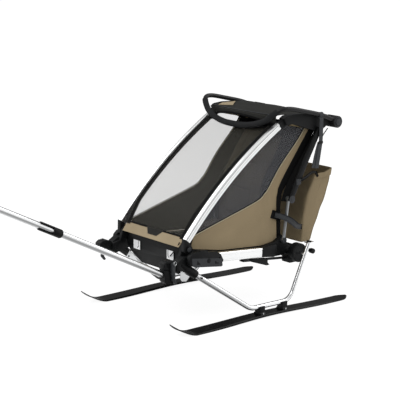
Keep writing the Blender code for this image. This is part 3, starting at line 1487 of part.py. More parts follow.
# Finishes, one material for each sub-part.
finishes = {
    "ski": SKI_BLACK, "ski_strut": SILVER, "strut_boot": BLACK, "side_rail": SILVER,
    "front_corner": BLACK, "rear_casting": BLACK, "axle_housing": BLACK, "leaf_spring": BLACK,
    "spring_slider": BLACK, "dock": BLACK, "dock_button": GREY, "hitch_block": BLACK,
    "hitch_lever": GREY, "upright_shoe": BLACK, "upright": SILVER, "top_arm": BLACK,
    "lower_strut": GREY, "upper_strut": GREY, "hub_button": GREY, "side_panel": KHAKI,
    "front_cross_tube": SILVER, "axle_tube": BLACK, "hub_cross_tube": BLACK,
    "pole_lower": SILVER, "pole_upper": SILVER, "pole_collar": BLACK, "pole_end": BLACK,
    "pole_foot": BLACK,
    "brake_bar": BLACK, "floor_pan": BLACK, "front_panel": BLACK, "front_cover": WINDOW,
    "canopy": CANOPY, "rear_panel": CANOPY, "seat_cushion": SEAT, "seat_back": SEAT,
    "rear_bag": KHAKI, "handlebar": BLACK, "handlebar_grip": FOAM, "wrist_strap": BLACK,
}


# Carriers: an empty on each joint's axis, so that a moving piece turns or slides with it.
def add_carrier(name, place):
    empty = bpy.data.objects.new(name, None)
    empty.empty_display_size = 0.05
    parts.objects.link(empty)
    if name != "trailer":
        empty.parent = carriers["trailer"][0]
    empty.location = place
    carriers[name] = (empty, Vector(place))


carriers = {}
add_carrier("trailer", (0, middle_y, 0))
carriers["trailer"] = (carriers["trailer"][0], Vector((0, 0, 0)))
add_carrier("fold_axis", (0, *FRONT_PIVOT))
add_carrier("handlebar_axis", (0, *HUB))
add_carrier("rear_pivot_axis", (0, *REAR_PIVOT))
add_carrier("upper_pivot_axis", (0, *UPPER_PIVOT))
add_carrier("lever_axis", (0, *LEVER_PIVOT))
add_carrier("brake_axis", (0, *AXLE_TUBE))
add_carrier("dock_button_axis", (rail_out, *DOCK_BUTTON_PLACE))
add_carrier("slider_axis", (0, SLIDER_FRONT, leaf_top(SLIDER_FRONT)))
add_carrier("recline_axis", (0, SEAT_BACK_FOOT_Y + SEAT_BACK_THICKNESS / 2, SEAT_HEIGHT + GAP))

carried_by = {
    "upright_shoe": "fold_axis", "upright": "fold_axis", "top_arm": "fold_axis",
    "hub_cross_tube": "fold_axis", "canopy": "fold_axis", "wrist_strap": "fold_axis",
    "front_cover": "fold_axis",
    "handlebar": "handlebar_axis", "handlebar_grip": "handlebar_axis", "hub_button": "handlebar_axis",
    "lower_strut": "rear_pivot_axis", "upper_strut": "upper_pivot_axis", "hitch_lever": "lever_axis",
    "brake_bar": "brake_axis", "dock_button": "dock_button_axis", "spring_slider": "slider_axis",
    "seat_back": "recline_axis",
}


def finish(solid, base):
    """Give a piece its material, smooth shading and carrier."""
    colour, roughness, metallic = finishes[base]
    material = add_material(solid.name, colour, roughness, metallic)
    solid.data.materials.clear()
    solid.data.materials.append(material)
    if solid.type == "MESH":
        solid.data.shade_smooth()
        solid.data.set_sharp_from_angle(angle=math.radians(32))
    carrier, place = carriers[carried_by.get(base, "trailer")]
    solid.parent = carrier
    solid.location = solid.location - place


for base, (left, right) in left_and_right.items():
    finish(left, base)
    finish(right, base)
for base, solid in single.items():
    finish(solid, base)
for tool in list(cutters.objects):
    tool.parent = carriers["trailer"][0]
bpy.context.view_layer.update()
print(f"shift along Y {middle_y:.5f}, pole length {pole_length:.5f}")
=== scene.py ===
# A child trailer on skis, dressed in fabric, film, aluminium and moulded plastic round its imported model.
# Places are in metres. Side-view places are (y, z) with y = 0 at the middle of the skis.
import json
import math

import bmesh
import bpy
from mathutils import Matrix, Vector, noise

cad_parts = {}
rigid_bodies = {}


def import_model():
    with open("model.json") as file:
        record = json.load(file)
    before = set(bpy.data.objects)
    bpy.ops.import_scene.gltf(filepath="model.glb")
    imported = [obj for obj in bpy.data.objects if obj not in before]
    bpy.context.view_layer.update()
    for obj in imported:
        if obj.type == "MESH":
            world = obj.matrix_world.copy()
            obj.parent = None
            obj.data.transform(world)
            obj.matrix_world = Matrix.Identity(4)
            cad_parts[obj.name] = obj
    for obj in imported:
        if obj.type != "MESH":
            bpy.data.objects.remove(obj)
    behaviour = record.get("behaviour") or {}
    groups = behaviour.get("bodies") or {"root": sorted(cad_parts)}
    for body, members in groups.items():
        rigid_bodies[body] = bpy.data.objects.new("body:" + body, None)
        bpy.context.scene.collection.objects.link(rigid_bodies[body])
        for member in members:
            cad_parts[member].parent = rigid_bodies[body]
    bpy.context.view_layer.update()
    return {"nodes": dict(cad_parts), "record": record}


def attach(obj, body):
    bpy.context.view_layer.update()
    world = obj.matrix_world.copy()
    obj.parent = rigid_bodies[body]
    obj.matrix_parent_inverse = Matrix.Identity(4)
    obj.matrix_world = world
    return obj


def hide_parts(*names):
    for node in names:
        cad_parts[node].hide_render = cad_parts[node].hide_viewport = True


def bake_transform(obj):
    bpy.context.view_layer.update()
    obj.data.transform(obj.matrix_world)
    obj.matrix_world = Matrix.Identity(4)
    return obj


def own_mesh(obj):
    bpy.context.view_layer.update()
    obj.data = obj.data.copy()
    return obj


for leftover in list(bpy.data.objects):
    bpy.data.objects.remove(leftover, do_unlink=True)

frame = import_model()
print("the packed model is in")

rowY = 0.670  # the skis' middle lies this far along Y
frameIn = 0.2625  # inner face of the frame's uprights
frameOut = 0.2885
clothOut = 0.2622  # outer face of the side walls
hub = (0.567, 0.958)
upperPivot = (0.453, 0.926)
rearPivot = (0.225, 0.357)
knuckle = (0.258, 0.575)
frontPivot = (-0.405, 0.402)


def toLinear(hexColour):
    channels = []
    for start in (1, 3, 5):
        value = int(hexColour[start : start + 2], 16) / 255
        channels.append(value / 12.92 if value <= 0.04045 else ((value + 0.055) / 1.055) ** 2.4)
    return (*channels, 1.0)


# A node with its settings; an input is a number, a colour or another node's output.
def addNode(tree, kind, settings=None, **inputs):
    node = tree.nodes.new(kind)
    for name, value in (settings or {}).items():
        setattr(node, name, value)
    for name, value in inputs.items():
        socket = node.inputs[int(name[1:])] if name[1:].isdigit() else node.inputs[name.replace("_", " ")]
        if isinstance(value, bpy.types.NodeSocket):
            tree.links.new(value, socket)
        else:
            socket.default_value = value
    return node


# 1 for rays of these kinds, 0 for the rest.
def rayShare(tree, path, *kinds):
    share = path.outputs[kinds[0]]
    for kind in kinds[1:]:
        both = addNode(tree, "ShaderNodeMath", {"operation": "MAXIMUM"}, _0=share, _1=path.outputs[kind])
        share = both.outputs[0]
    return share


# A strength that falls from bright to dark where the direction lies along the dark side, either way.
def fallingLight(tree, direction, darkSide, start, end, bright, dark):
    facing = addNode(tree, "ShaderNodeVectorMath", {"operation": "DOT_PRODUCT"}, _0=direction, _1=darkSide)
    facing = addNode(tree, "ShaderNodeMath", {"operation": "ABSOLUTE"}, _0=facing.outputs["Value"])
    falling = addNode(
        tree, "ShaderNodeMapRange", Value=facing.outputs[0], _1=start, _2=end, _3=bright, _4=dark
    )
    return falling.outputs[0]


# Camera, light and floor
def buildStudio():
    studio = {
        "cameraPlace": (5.82677, -4.09120, 2.17769),
        "cameraTurn": (77.816, 0.0, 51.348),
        "lens": 130.5,
        "worldLight": 0.62,
        "floorGlow": 0.80,
        "floorWhite": 1.15,
        "darkSide": (-0.78, 0.62, 0.0),
        "darkest": 0.22,
        "lamps": (
            # place, size, power
            ((2.6, -3.2, 4.2), 2.6, 85),
            ((-3.6, -1.0, 3.6), 2.4, 40),
            ((1.5, 3.8, 3.4), 2.4, 45),
        ),
    }
    camera = bpy.data.cameras.new("photoView")
    camera.lens = studio["lens"]
    camera.sensor_width = 36.0
    holder = bpy.data.objects.new("photoView", camera)
    holder.location = studio["cameraPlace"]
    holder.rotation_euler = [math.radians(turn) for turn in studio["cameraTurn"]]
    bpy.context.scene.collection.objects.link(holder)
    bpy.context.scene.camera = holder

    for number, (spot, size, power) in enumerate(studio["lamps"]):
        lamp = bpy.data.lights.new(f"softbox{number}", "AREA")
        lamp.energy = power
        lamp.size = size
        box = bpy.data.objects.new(f"softbox{number}", lamp)
        box.location = spot
        aim = Vector((0, 0.6, 0.5)) - Vector(spot)
        box.rotation_euler = aim.to_track_quat("-Z", "Y").to_euler()
        bpy.context.scene.collection.objects.link(box)

    # Straight to the camera and through film the world is white. In gloss it falls off behind the trailer
    # and in front of it, which gives bright metal its grey edges.
    world = bpy.data.worlds.new("studioWhite")
    bpy.context.scene.world = world
    world.use_nodes = True
    tree = world.node_tree
    path = addNode(tree, "ShaderNodeLightPath")
    seen = rayShare(tree, path, "Is Camera Ray", "Is Transmission Ray")
    direction = addNode(tree, "ShaderNodeTexCoord").outputs["Generated"]
    falling = fallingLight(tree, direction, studio["darkSide"], 0.20, 0.85, 1.05, studio["darkest"])
    shiny = addNode(
        tree, "ShaderNodeMapRange", Value=path.outputs["Is Glossy Ray"], _3=studio["worldLight"], _4=falling
    )
    strength = addNode(tree, "ShaderNodeMapRange", Value=seen, _3=shiny.outputs[0], _4=1.0)
    background = tree.nodes["Background"]
    background.inputs["Color"].default_value = (1, 1, 1, 1)
    tree.links.new(strength.outputs[0], background.inputs["Strength"])

    bpy.ops.mesh.primitive_plane_add(size=60, location=(0, 0, -0.0005))
    floor = bpy.context.object
    floor.name = "paleFloor"
    paint = bpy.data.materials.new("paleFloor")
    paint.use_nodes = True
    tree = paint.node_tree
    shader = tree.nodes["Principled BSDF"]
    shader.inputs["Base Color"].default_value = (0.90, 0.90, 0.90, 1)
    shader.inputs["Roughness"].default_value = 0.9
    shader.inputs["Specular IOR Level"].default_value = 0.0
    path = addNode(tree, "ShaderNodeLightPath")
    shown = rayShare(tree, path, "Is Camera Ray", "Is Transmission Ray", "Is Glossy Ray")
    share = addNode(tree, "ShaderNodeMath", {"operation": "MULTIPLY"}, _0=shown, _1=studio["floorGlow"])
    # in gloss the floor is greyer in front of the trailer and behind it
    spot = addNode(tree, "ShaderNodeTexCoord").outputs["Object"]
    spot = addNode(tree, "ShaderNodeVectorMath", {"operation": "SUBTRACT"}, _0=spot, _1=(0.0, 0.6, 0.0))
    spot = addNode(tree, "ShaderNodeVectorMath", {"operation": "NORMALIZE"}, _0=spot.outputs[0])
    white = studio["floorWhite"]
    falling = fallingLight(tree, spot.outputs[0], studio["darkSide"], 0.45, 0.95, white, studio["darkest"])
    bright = addNode(
        tree, "ShaderNodeMapRange", Value=path.outputs["Is Glossy Ray"], _3=white, _4=falling
    )
    glow = addNode(tree, "ShaderNodeEmission", Color=(1, 1, 1, 1), Strength=bright.outputs[0])
    mix = addNode(
        tree, "ShaderNodeMixShader", _0=share.outputs[0], _1=shader.outputs[0], _2=glow.outputs[0]
    )
    tree.links.new(mix.outputs[0], tree.nodes["Material Output"].inputs["Surface"])
    floor.data.materials.append(paint)
    bpy.context.scene.view_settings.view_transform = "Standard"


buildStudio()
print("studio is lit")


# Materials
# A Principled material; sockets such as Sheen_Weight are set by their names.
def newMaterial(name, colour, roughness, metallic=0.0, **sockets):
    material = bpy.data.materials.new(name)
    material.use_nodes = True
    shader = material.node_tree.nodes["Principled BSDF"]
    shader.inputs["Base Color"].default_value = toLinear(colour)
    shader.inputs["Roughness"].default_value = roughness
    shader.inputs["Metallic"].default_value = metallic
    for socket, value in sockets.items():
        shader.inputs[socket.replace("_", " ")].default_value = value
    material.diffuse_color = toLinear(colour)
    return material


# Fine grain in the surface: its bump, its roughness from low to high and a slight change of tint.
def grainy(material, scale, depth, low, high, tint=0.0, stretch=(1, 1, 1)):
    tree = material.node_tree
    shader = tree.nodes["Principled BSDF"]
    where = addNode(tree, "ShaderNodeTexCoord").outputs["Object"]
    mapped = addNode(tree, "ShaderNodeMapping", Vector=where, Scale=stretch).outputs[0]
    grain = addNode(tree, "ShaderNodeTexNoise", Vector=mapped, Scale=scale, Detail=3.0, Roughness=0.6)
    patches = addNode(tree, "ShaderNodeTexNoise", Vector=where, Scale=9.0, Detail=2.0)
    rough = addNode(tree, "ShaderNodeMapRange", Value=patches.outputs["Fac"], _3=low, _4=high)
    tree.links.new(rough.outputs[0], shader.inputs["Roughness"])
    bump = addNode(tree, "ShaderNodeBump", Strength=0.5, Distance=depth, Height=grain.outputs["Fac"])
    tree.links.new(bump.outputs[0], shader.inputs["Normal"])
    if tint:
        base = shader.inputs["Base Color"].default_value[:]
        dark = (*[channel * (1 - tint) for channel in base[:3]], 1)
        light = (*[min(1, channel * (1 + tint)) for channel in base[:3]], 1)
        both = addNode(
            tree, "ShaderNodeMath", {"operation": "ADD"}, _0=grain.outputs["Fac"], _1=patches.outputs["Fac"]
        )
        share = addNode(tree, "ShaderNodeMapRange", Value=both.outputs[0], _1=0.7, _2=1.3).outputs[0]
        mix = addNode(tree, "ShaderNodeMix", {"data_type": "RGBA"}, Factor=share, _6=dark, _7=light)
        tree.links.new(mix.outputs[2], shader.inputs["Base Color"])
    return material


# Plain weave on a UV map in metres: warp and weft threads, darker between them, with a slow fade.
def woven(material, thread, depth, shade=0.25, fade=0.12, slub=0.3):
    tree = material.node_tree
    shader = tree.nodes["Principled BSDF"]
    where = addNode(tree, "ShaderNodeTexCoord").outputs["UV"]
    turns = 0.5 / thread
    waves = []
    for direction in ("X", "Y"):
        wave = addNode(
            tree, "ShaderNodeTexWave",
            {"wave_type": "BANDS", "bands_direction": direction, "wave_profile": "SIN"},
            Vector=where, Scale=turns, Distortion=slub, Detail=1.0,
        )
        waves.append(wave.outputs["Fac"])
    weave = addNode(tree, "ShaderNodeMath", {"operation": "MULTIPLY"}, _0=waves[0], _1=waves[1]).outputs[0]
    bump = addNode(tree, "ShaderNodeBump", Strength=0.6, Distance=depth, Height=weave)
    tree.links.new(bump.outputs[0], shader.inputs["Normal"])
    slow = addNode(tree, "ShaderNodeTexNoise", Vector=where, Scale=6.0, Detail=4.0).outputs["Fac"]
    base = shader.inputs["Base Color"].default_value[:]
    between = (*[channel * (1 - shade) for channel in base[:3]], 1)
    threads = addNode(tree, "ShaderNodeMix", {"data_type": "RGBA"}, Factor=weave, _6=between, _7=base)
    threads = threads.outputs[2]
    faded = (*[min(1, channel * (1 + fade)) for channel in base[:3]], 1)
    share = addNode(tree, "ShaderNodeMapRange", Value=slow, _1=0.35, _2=0.7, _4=0.5).outputs[0]
    mix = addNode(tree, "ShaderNodeMix", {"data_type": "RGBA"}, Factor=share, _6=threads, _7=faded)
    tree.links.new(mix.outputs[2], shader.inputs["Base Color"])
    return material


# Lets that share of the light straight through, as a clear film or an open net does.
def seeThrough(material, share):
    tree = material.node_tree
    shader = tree.nodes["Principled BSDF"]
    clear = addNode(tree, "ShaderNodeBsdfTransparent")
    mix = addNode(tree, "ShaderNodeMixShader", _0=share, _1=shader.outputs[0], _2=clear.outputs[0])
    tree.links.new(mix.outputs[0], tree.nodes["Material Output"].inputs["Surface"])
    return material


# A dull surface with a grain, by the share of light that its gloss throws back.
def coated(name, colour, roughness, gloss, *grain):
    return grainy(newMaterial(name, colour, roughness, Specular_IOR_Level=gloss), *grain)


def fabric(name, colour, roughness, gloss, *weave):
    return woven(newMaterial(name, colour, roughness, Specular_IOR_Level=gloss), *weave)


# anodised aluminium, bead-blasted: pale, even, with a soft broad gleam
aluminium = grainy(newMaterial("anodisedAluminium", "#f4f5f5", 0.30, 1.0), 900, 0.00003, 0.24, 0.34)
# clear-coated aluminium of the poles and struts, drawn: smoother, with fine lines along it
drawnAluminium = grainy(newMaterial("drawnAluminium", "#f0f1f2", 0.26, 1.0), 700, 0.00002, 0.20, 0.28)
# glass-filled nylon from a spark-eroded mould: black, with a dull, fine grain
nylon = coated("mouldedNylon", "#0e0f10", 0.5, 0.18, 1100, 0.00010, 0.42, 0.58, 0.18)
# the same nylon, dyed dark grey
greyNylon = coated("greyNylon", "#2d2f32", 0.48, 0.3, 1100, 0.0001, 0.4, 0.55, 0.15)
# black powder coat on the handlebar: a slight orange peel
powderCoat = coated("powderCoat", "#161617", 0.42, 0.25, 420, 0.0001, 0.36, 0.48, 0.08)
# closed-cell foam rubber: dull, with open pores
foamRubber = coated("foamRubber", "#232425", 0.88, 0.15, 650, 0.00035, 0.8, 0.95, 0.25)
# grey anodised tube of the folding struts
greyTube = grainy(newMaterial("greyAnodised", "#96999b", 0.36, 0.9), 800, 0.00004, 0.30, 0.40)
# zinc-plated steel of bolts and plates
zincSteel = grainy(newMaterial("zincSteel", "#dcdedf", 0.30, 1.0), 500, 0.00003, 0.22, 0.36)
# black oxide steel of the leaf springs and screws
blackSteel = grainy(newMaterial("blackSteel", "#17181a", 0.40, 0.6), 600, 0.00005, 0.32, 0.46)
# polyester canvas with a dry coating, khaki
khaki = fabric("khakiCanvas", "#98886c", 0.88, 0.12, 0.0014, 0.0002, 0.18)
# the same canvas, painted paler for the light on the front of the nose; the canopy patch wears it too
khakiPaintedLit = fabric("canvasPaintedLit", "#ac9c80", 0.86, 0.12, 0.0014, 0.0002, 0.18)
# its lighter lining and bindings
paleKhaki = fabric("paleKhaki", "#b9a67c", 0.82, 0.15, 0.0012, 0.00015)
# the piping's reflective yarn, paler still
pipingCloth = fabric("reflectivePiping", "#d2c7a8", 0.6, 0.5, 0.0010, 0.0001, 0.15)
# ripstop polyester of the canopy, charcoal
charcoal = fabric("charcoalRipstop", "#343432", 0.85, 0.06, 0.0013, 0.00015, 0.3)
# black lining cloth of the gussets and the cabin's inside
blackCloth = fabric("blackLining", "#161616", 0.88, 0.08, 0.0013, 0.00015, 0.3)
# nylon webbing, ribbed across
webbing = fabric("webbing", "#1a1a1b", 0.75, 0.15, 0.0020, 0.0003, 0.45, 0.05)
greyWebbing = fabric("greyWebbing", "#46484b", 0.72, 0.2, 0.0020, 0.0003, 0.40, 0.05)
# brushed seat fabric, dark brown-grey
seatCloth = coated("seatCloth", "#3a342a", 0.92, 0.08, 520, 0.00045, 0.82, 0.95, 0.3)
# bonded polyester thread
thread = newMaterial("sewingThread", "#6d6a63", 0.7, Specular_IOR_Level=0.2)
# clear polyurethane film over a fine net, which takes a little of the light
windowFilm = seeThrough(newMaterial("clearFilm", "#6b6960", 0.25, Specular_IOR_Level=0.2), 0.89)
# smoke-tinted film of the side windows
smokeFilm = seeThrough(newMaterial("smokeFilm", "#88898d", 0.32, Specular_IOR_Level=0.2), 0.85)
# epoxy-coated ski top over a black core: smooth, with a soft gloss
skiTop = coated("skiTopSheet", "#080809", 0.36, 0.15, 260, 0.00002, 0.28, 0.42, 0.1)
# prismatic reflector: white acrylic
reflectorWhite = newMaterial("reflectorAcrylic", "#f2f3f4", 0.15, Coat_Weight=0.5)
print("materials are mixed")


# Modelling helpers
def deselect():
    active = bpy.context.view_layer.objects.active
    if active and active.mode != "OBJECT":
        bpy.ops.object.mode_set(mode="OBJECT")
    bpy.ops.object.select_all(action="DESELECT")


def activate(piece):
    deselect()
    piece.select_set(True)
    bpy.context.view_layer.objects.active = piece
    return piece


# A primitive of Blender's, named.
def added(name, primitive, **settings):
    deselect()
    primitive(**settings)
    piece = bpy.context.object
    piece.name = name
    return piece


# Takes the steps one by one, each on the whole mesh in edit mode.
def edited(piece, *steps):
    activate(piece)
    bpy.ops.object.mode_set(mode="EDIT")
    for step in steps:
        bpy.ops.mesh.select_all(action="SELECT")
        step()
    bpy.ops.object.mode_set(mode="OBJECT")
    return piece


def merge():
    bpy.ops.mesh.remove_doubles(threshold=0.00001)


def faceOutward():
    bpy.ops.mesh.normals_make_consistent(inside=False)


# A place of the side view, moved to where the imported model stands.
def inRow(place):
    return Vector(place) + Vector((0, rowY, 0))


# A grid primitive whose corners go where shape(u, v) says, with a UV map of the given size in metres.
def gridPiece(name, columns, rows, shape, size=(1.0, 1.0)):
    piece = added(name, bpy.ops.mesh.primitive_grid_add, x_subdivisions=columns, y_subdivisions=rows, size=1)
    for corner in piece.data.vertices:
        x, y, z = shape(corner.co.x + 0.5, corner.co.y + 0.5)
        corner.co = (x, y + rowY, z)
    for loop in piece.data.uv_layers[0].data:
        loop.uv = (loop.uv[0] * size[0], loop.uv[1] * size[1])
    return piece


# A grid rolled through rings of equal point counts, joined at its seam and closed at both ends.
def loftPiece(name, rings):
    count = len(rings[0])
    last = len(rings) - 1
    length = sum((Vector(a[0]) - Vector(b[0])).length for a, b in zip(rings, rings[1:]))
    girth = sum((Vector(a) - Vector(b)).length for a, b in zip(rings[last // 2], rings[last // 2][1:]))
    piece = gridPiece(
        name, count, last, lambda u, v: rings[round(v * last)][round(u * count) % count], (girth, length)
    )
    return edited(piece, merge, lambda: bpy.ops.mesh.fill_holes(sides=0), faceOutward)


# Straight runs whose corners are arcs of the radius.
def roundedPath(corners, radius, steps=8):
    corners = [Vector(corner) for corner in corners]
    points = [corners[0]]
    for back, corner, ahead in zip(corners, corners[1:], corners[2:]):
        toBack = back - corner
        toAhead = ahead - corner
        half = toBack.angle(toAhead) / 2
        reach = min(radius / math.tan(half), toBack.length * 0.48, toAhead.length * 0.48)
        bend = reach * math.tan(half)
        middle = (toBack.normalized() + toAhead.normalized()).normalized()
        centre = corner + middle * (bend / math.sin(half))
        first = (corner + toBack.normalized() * reach - centre).normalized()
        last = (corner + toAhead.normalized() * reach - centre).normalized()
        points += [centre + first.slerp(last, step / steps) * bend for step in range(steps + 1)]
    return points + [corners[-1]]


# A smooth curve through its own points.
def smoothPath(corners, steps=8):
    corners = [Vector(corner) for corner in corners]
    ends = [corners[0] * 2 - corners[1], *corners, corners[-1] * 2 - corners[-2]]
    points = [corners[0]]
    for a, b, c, d in zip(ends, ends[1:], ends[2:], ends[3:]):
        for step in range(1, steps + 1):
            t = step / steps
            bend = a * 2 - b * 5 + c * 4 - d
            twist = b * 3 - a - c * 3 + d
            points.append((b * 2 + (c - a) * t + bend * t ** 2 + twist * t ** 3) / 2)
    return points


# The point that lies that share of the way along a path.
def alongPath(points, share):
    lengths = [0.0]
    for a, b in zip(points, points[1:]):
        lengths.append(lengths[-1] + (b - a).length)
    goal = lengths[-1] * min(max(share, 0.0), 1.0)
    for index in range(len(points) - 1):
        if lengths[index + 1] >= goal - 1e-9:
            span = lengths[index + 1] - lengths[index]
            return points[index].lerp(points[index + 1], (goal - lengths[index]) / span if span else 0)
    return points[-1]


# Copies of a flat section along a path; side fixes the section's first axis, else it is carried along.
def ringsAlong(path, section, side=None):
    path = [Vector(point) for point in path]
    across = Vector(side) if side else None
    rings = []
    for index, point in enumerate(path):
        along = (path[min(index + 1, len(path) - 1)] - path[max(index - 1, 0)]).normalized()
        if across is None:
            across = along.orthogonal().normalized()
        if not side:
            across = (across - along * across.dot(along)).normalized()
        up = across.cross(along).normalized()
        share = index / (len(path) - 1)
        shape = section(share) if callable(section) else section
        rings.append([tuple(point + across * a + up * b) for a, b in shape])
    return rings


# A flat rectangle's corners, for straps, hems and lines.
def flatSection(halfWidth, halfDepth):
    w, d = halfWidth, halfDepth
    return [(-w, -d), (w, -d), (w, d), (-w, d)]


# A rectangle with a radius at each corner, from its right side round by the top.
def roundedSection(halfWidth, halfDepth, radii, steps):
    points = []
    for quarter, radius in enumerate(radii):
        x = (halfWidth - radius) * (1 if quarter in (0, 3) else -1)
        y = (halfDepth - radius) * (1 if quarter < 2 else -1)
        for step in range(steps + 1):
            turn = math.radians(90 * (quarter + step / steps))
            points.append((x + radius * math.cos(turn), y + radius * math.sin(turn)))
    return points


# A cosine or sine whose circle is squared off as the power falls under one.
def squared(value, power):
    return math.copysign(abs(value) ** power, value)


def roundSection(radius, sides=24, flat=1.0):
    turns = [2 * math.pi * step / sides for step in range(sides)]
    return [(radius * math.cos(turn), flat * radius * math.sin(turn)) for turn in turns]


def tubePiece(name, path, radius, sides=24, side=None):
    section = radius if callable(radius) else roundSection(radius, sides)
    return loftPiece(name, ringsAlong(path, section, side))


# An n-gon of the outline, pulled out to its thickness. It faces along x with (y, z), or y with (x, z).
def platePiece(name, outline, low, high, facing="x"):
    piece = added(name, bpy.ops.mesh.primitive_circle_add, vertices=len(outline), fill_type="NGON")
    for corner, (a, b) in zip(piece.data.vertices, outline):
        corner.co = (low, a + rowY, b) if facing == "x" else (a, low + rowY, b)
    reach = {"value": (high - low, 0, 0) if facing == "x" else (0, high - low, 0)}
    pull = bpy.ops.mesh.extrude_region_move
    return edited(piece, lambda: pull(TRANSFORM_OT_translate=reach), faceOutward)


# A cylinder or cone primitive between two places.
def rodPiece(name, start, end, radius, sides=32, endRadius=None):
    start, end = inRow(start), inRow(end)
    return added(
        name, bpy.ops.mesh.primitive_cone_add, vertices=sides, radius1=radius,
        radius2=radius if endRadius is None else endRadius, depth=(end - start).length,
        location=(start + end) / 2, rotation=(end - start).to_track_quat("Z", "Y").to_euler(),
    )


def boxPiece(name, low, high):
    low, high = inRow(low), inRow(high)
    return added(name, bpy.ops.mesh.primitive_cube_add, size=1, location=(low + high) / 2, scale=high - low)


# A ring that faces along x, then turned by its last angle.
def torusPiece(name, place, radius, thickness, segments, turn=0.0):
    return added(
        name, bpy.ops.mesh.primitive_torus_add, location=inRow(place), rotation=(0, math.pi / 2, turn),
        major_radius=radius, minor_radius=thickness, major_segments=segments[0], minor_segments=segments[1],
    )


# Applies the modifiers and the place, so that the object sits at the origin.
def applyAll(piece):
    activate(piece)
    for change in list(piece.modifiers):
        bpy.ops.object.modifier_apply(modifier=change.name)
    bpy.ops.object.transform_apply(location=True, rotation=True, scale=True)
    return piece


def bevelled(piece, width, segments=2, angle=35):
    change = piece.modifiers.new("roundEdges", "BEVEL")
    change.width = width
    change.segments = segments
    change.limit_method = "ANGLE"
    change.angle_limit = math.radians(angle)
    change.miter_outer = "MITER_ARC"
    return piece


def thickened(piece, thickness, offset=-1.0):
    change = piece.modifiers.new("thickness", "SOLIDIFY")
    change.thickness = thickness
    change.offset = offset
    return piece


def subdivided(piece, levels=1):
    change = piece.modifiers.new("soften", "SUBSURF")
    change.levels = levels
    change.render_levels = levels
    return piece


# Several finished shapes as one piece.
def joined(name, pieces):
    for piece in pieces:
        applyAll(piece)
    deselect()
    for piece in pieces:
        piece.select_set(True)
    bpy.context.view_layer.objects.active = pieces[0]
    bpy.ops.object.join()
    pieces[0].name = name
    return pieces[0]


# Applies what is left, shades it smooth, gives it its finish and lets it ride its body.
def finishPiece(piece, material, body, replaces=(), smooth=38):
    applyAll(piece)
    activate(piece)
    bpy.ops.object.shade_smooth_by_angle(angle=math.radians(smooth))
    piece.data.materials.clear()
    piece.data.materials.append(material)
    if body == "folding":
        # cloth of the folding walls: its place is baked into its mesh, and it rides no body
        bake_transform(piece)
    else:
        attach(piece, body)
    if replaces:
        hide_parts(*replaces)
    return piece


# Finishes a left piece and its mirrored right one. Names that end in _left are given their right form.
def onBothSides(piece, material, body, replaces=(), smooth=38):
    def other(name):
        return name.replace("_left", "_right") if name else name

    applyAll(piece)
    base = piece.name
    twin = piece.copy()
    twin.data = piece.data.copy()
    bpy.context.scene.collection.objects.link(twin)
    twin.data.transform(Matrix.Scale(-1, 4, (1, 0, 0)))
    twin.data.flip_normals()
    piece.name = base + "Left"
    twin.name = base + "Right"
    finishPiece(piece, material, body, replaces, smooth)
    finishPiece(twin, material, other(body), [other(node) for node in replaces], smooth)
    return piece, twin


# A flat strap of webbing along its points. It lies across the side direction, or turns with its path.
def strapPiece(name, places, width, thickness, across, steps=6):
    path = smoothPath(places, steps)
    w, t = width / 2, thickness / 2
    under = [(-w, -t), (-w + t, -t * 1.3), (w - t, -t * 1.3), (w, -t)]
    section = under + [(-a, -b) for a, b in under]
    return loftPiece(name, ringsAlong(path, section, across))


# One stitch, modelled once and copied along a seam, raised a little from the cloth.
def stitchRow(name, places, spacing=0.006, length=0.0036, radius=0.00045):
    first = added(name, bpy.ops.mesh.primitive_cylinder_add, vertices=6, radius=radius, depth=length)
    total = sum((b - a).length for a, b in zip(places, places[1:]))
    count = max(2, int(total / spacing))
    row = bmesh.new()
    for step in range(count):
        spot = alongPath(places, (step + 0.5) / count)
        ahead = alongPath(places, (step + 0.6) / count)
        turn = (ahead - spot).to_track_quat("Z", "Y").to_matrix().to_4x4()
        stitch = first.data.copy()
        stitch.transform(Matrix.Translation(inRow(spot)) @ turn)
        row.from_mesh(stitch)
        bpy.data.meshes.remove(stitch)
    row.to_mesh(first.data)
    row.free()
    return first


# A padded piece, blown up a little as cloth over foam. Its points move no further than the cap.
def inflated(piece, voxel, cap, pressure=4.0):
    applyAll(piece)
    cells = piece.modifiers.new("evenCells", "REMESH")
    cells.mode = "VOXEL"
    cells.voxel_size = voxel
    applyAll(piece)
    before = [corner.co.copy() for corner in piece.data.vertices]
    scene = bpy.context.scene
    cloth = piece.modifiers.new("cloth", "CLOTH")
    cloth.settings.use_pressure = True
    cloth.settings.uniform_pressure_force = pressure
    cloth.settings.effector_weights.gravity = 0
    cloth.point_cache.frame_start = 1
    cloth.point_cache.frame_end = 20
    for moment in range(1, 21):
        scene.frame_set(moment)
    applyAll(piece)
    scene.frame_set(1)
    for corner, old in zip(piece.data.vertices, before):
        move = corner.co - old
        if move.length > cap:
            corner.co = old + move * (cap / move.length)
    return subdivided(piece)


# A merged copy of a CAD node with rounded edges and smooth shading, which stands for the node.
def dressNode(node, material, bevel=0.0008, smooth=38, segments=2):
    source = frame["nodes"][node]
    body = next(name for name, nodes in frame["record"]["behaviour"]["bodies"].items() if node in nodes)
    piece = source.copy()
    piece.data = source.data.copy()
    piece.name = node + "_dressed"
    piece.parent = None
    for key in list(piece.keys()):
        del piece[key]
    bpy.context.scene.collection.objects.link(piece)
    edited(piece, merge, lambda: bpy.ops.mesh.dissolve_limited(angle_limit=math.radians(1.0)))
    if bevel:
        bevelled(piece, bevel, segments)
    return finishPiece(piece, material, body, [node], smooth)


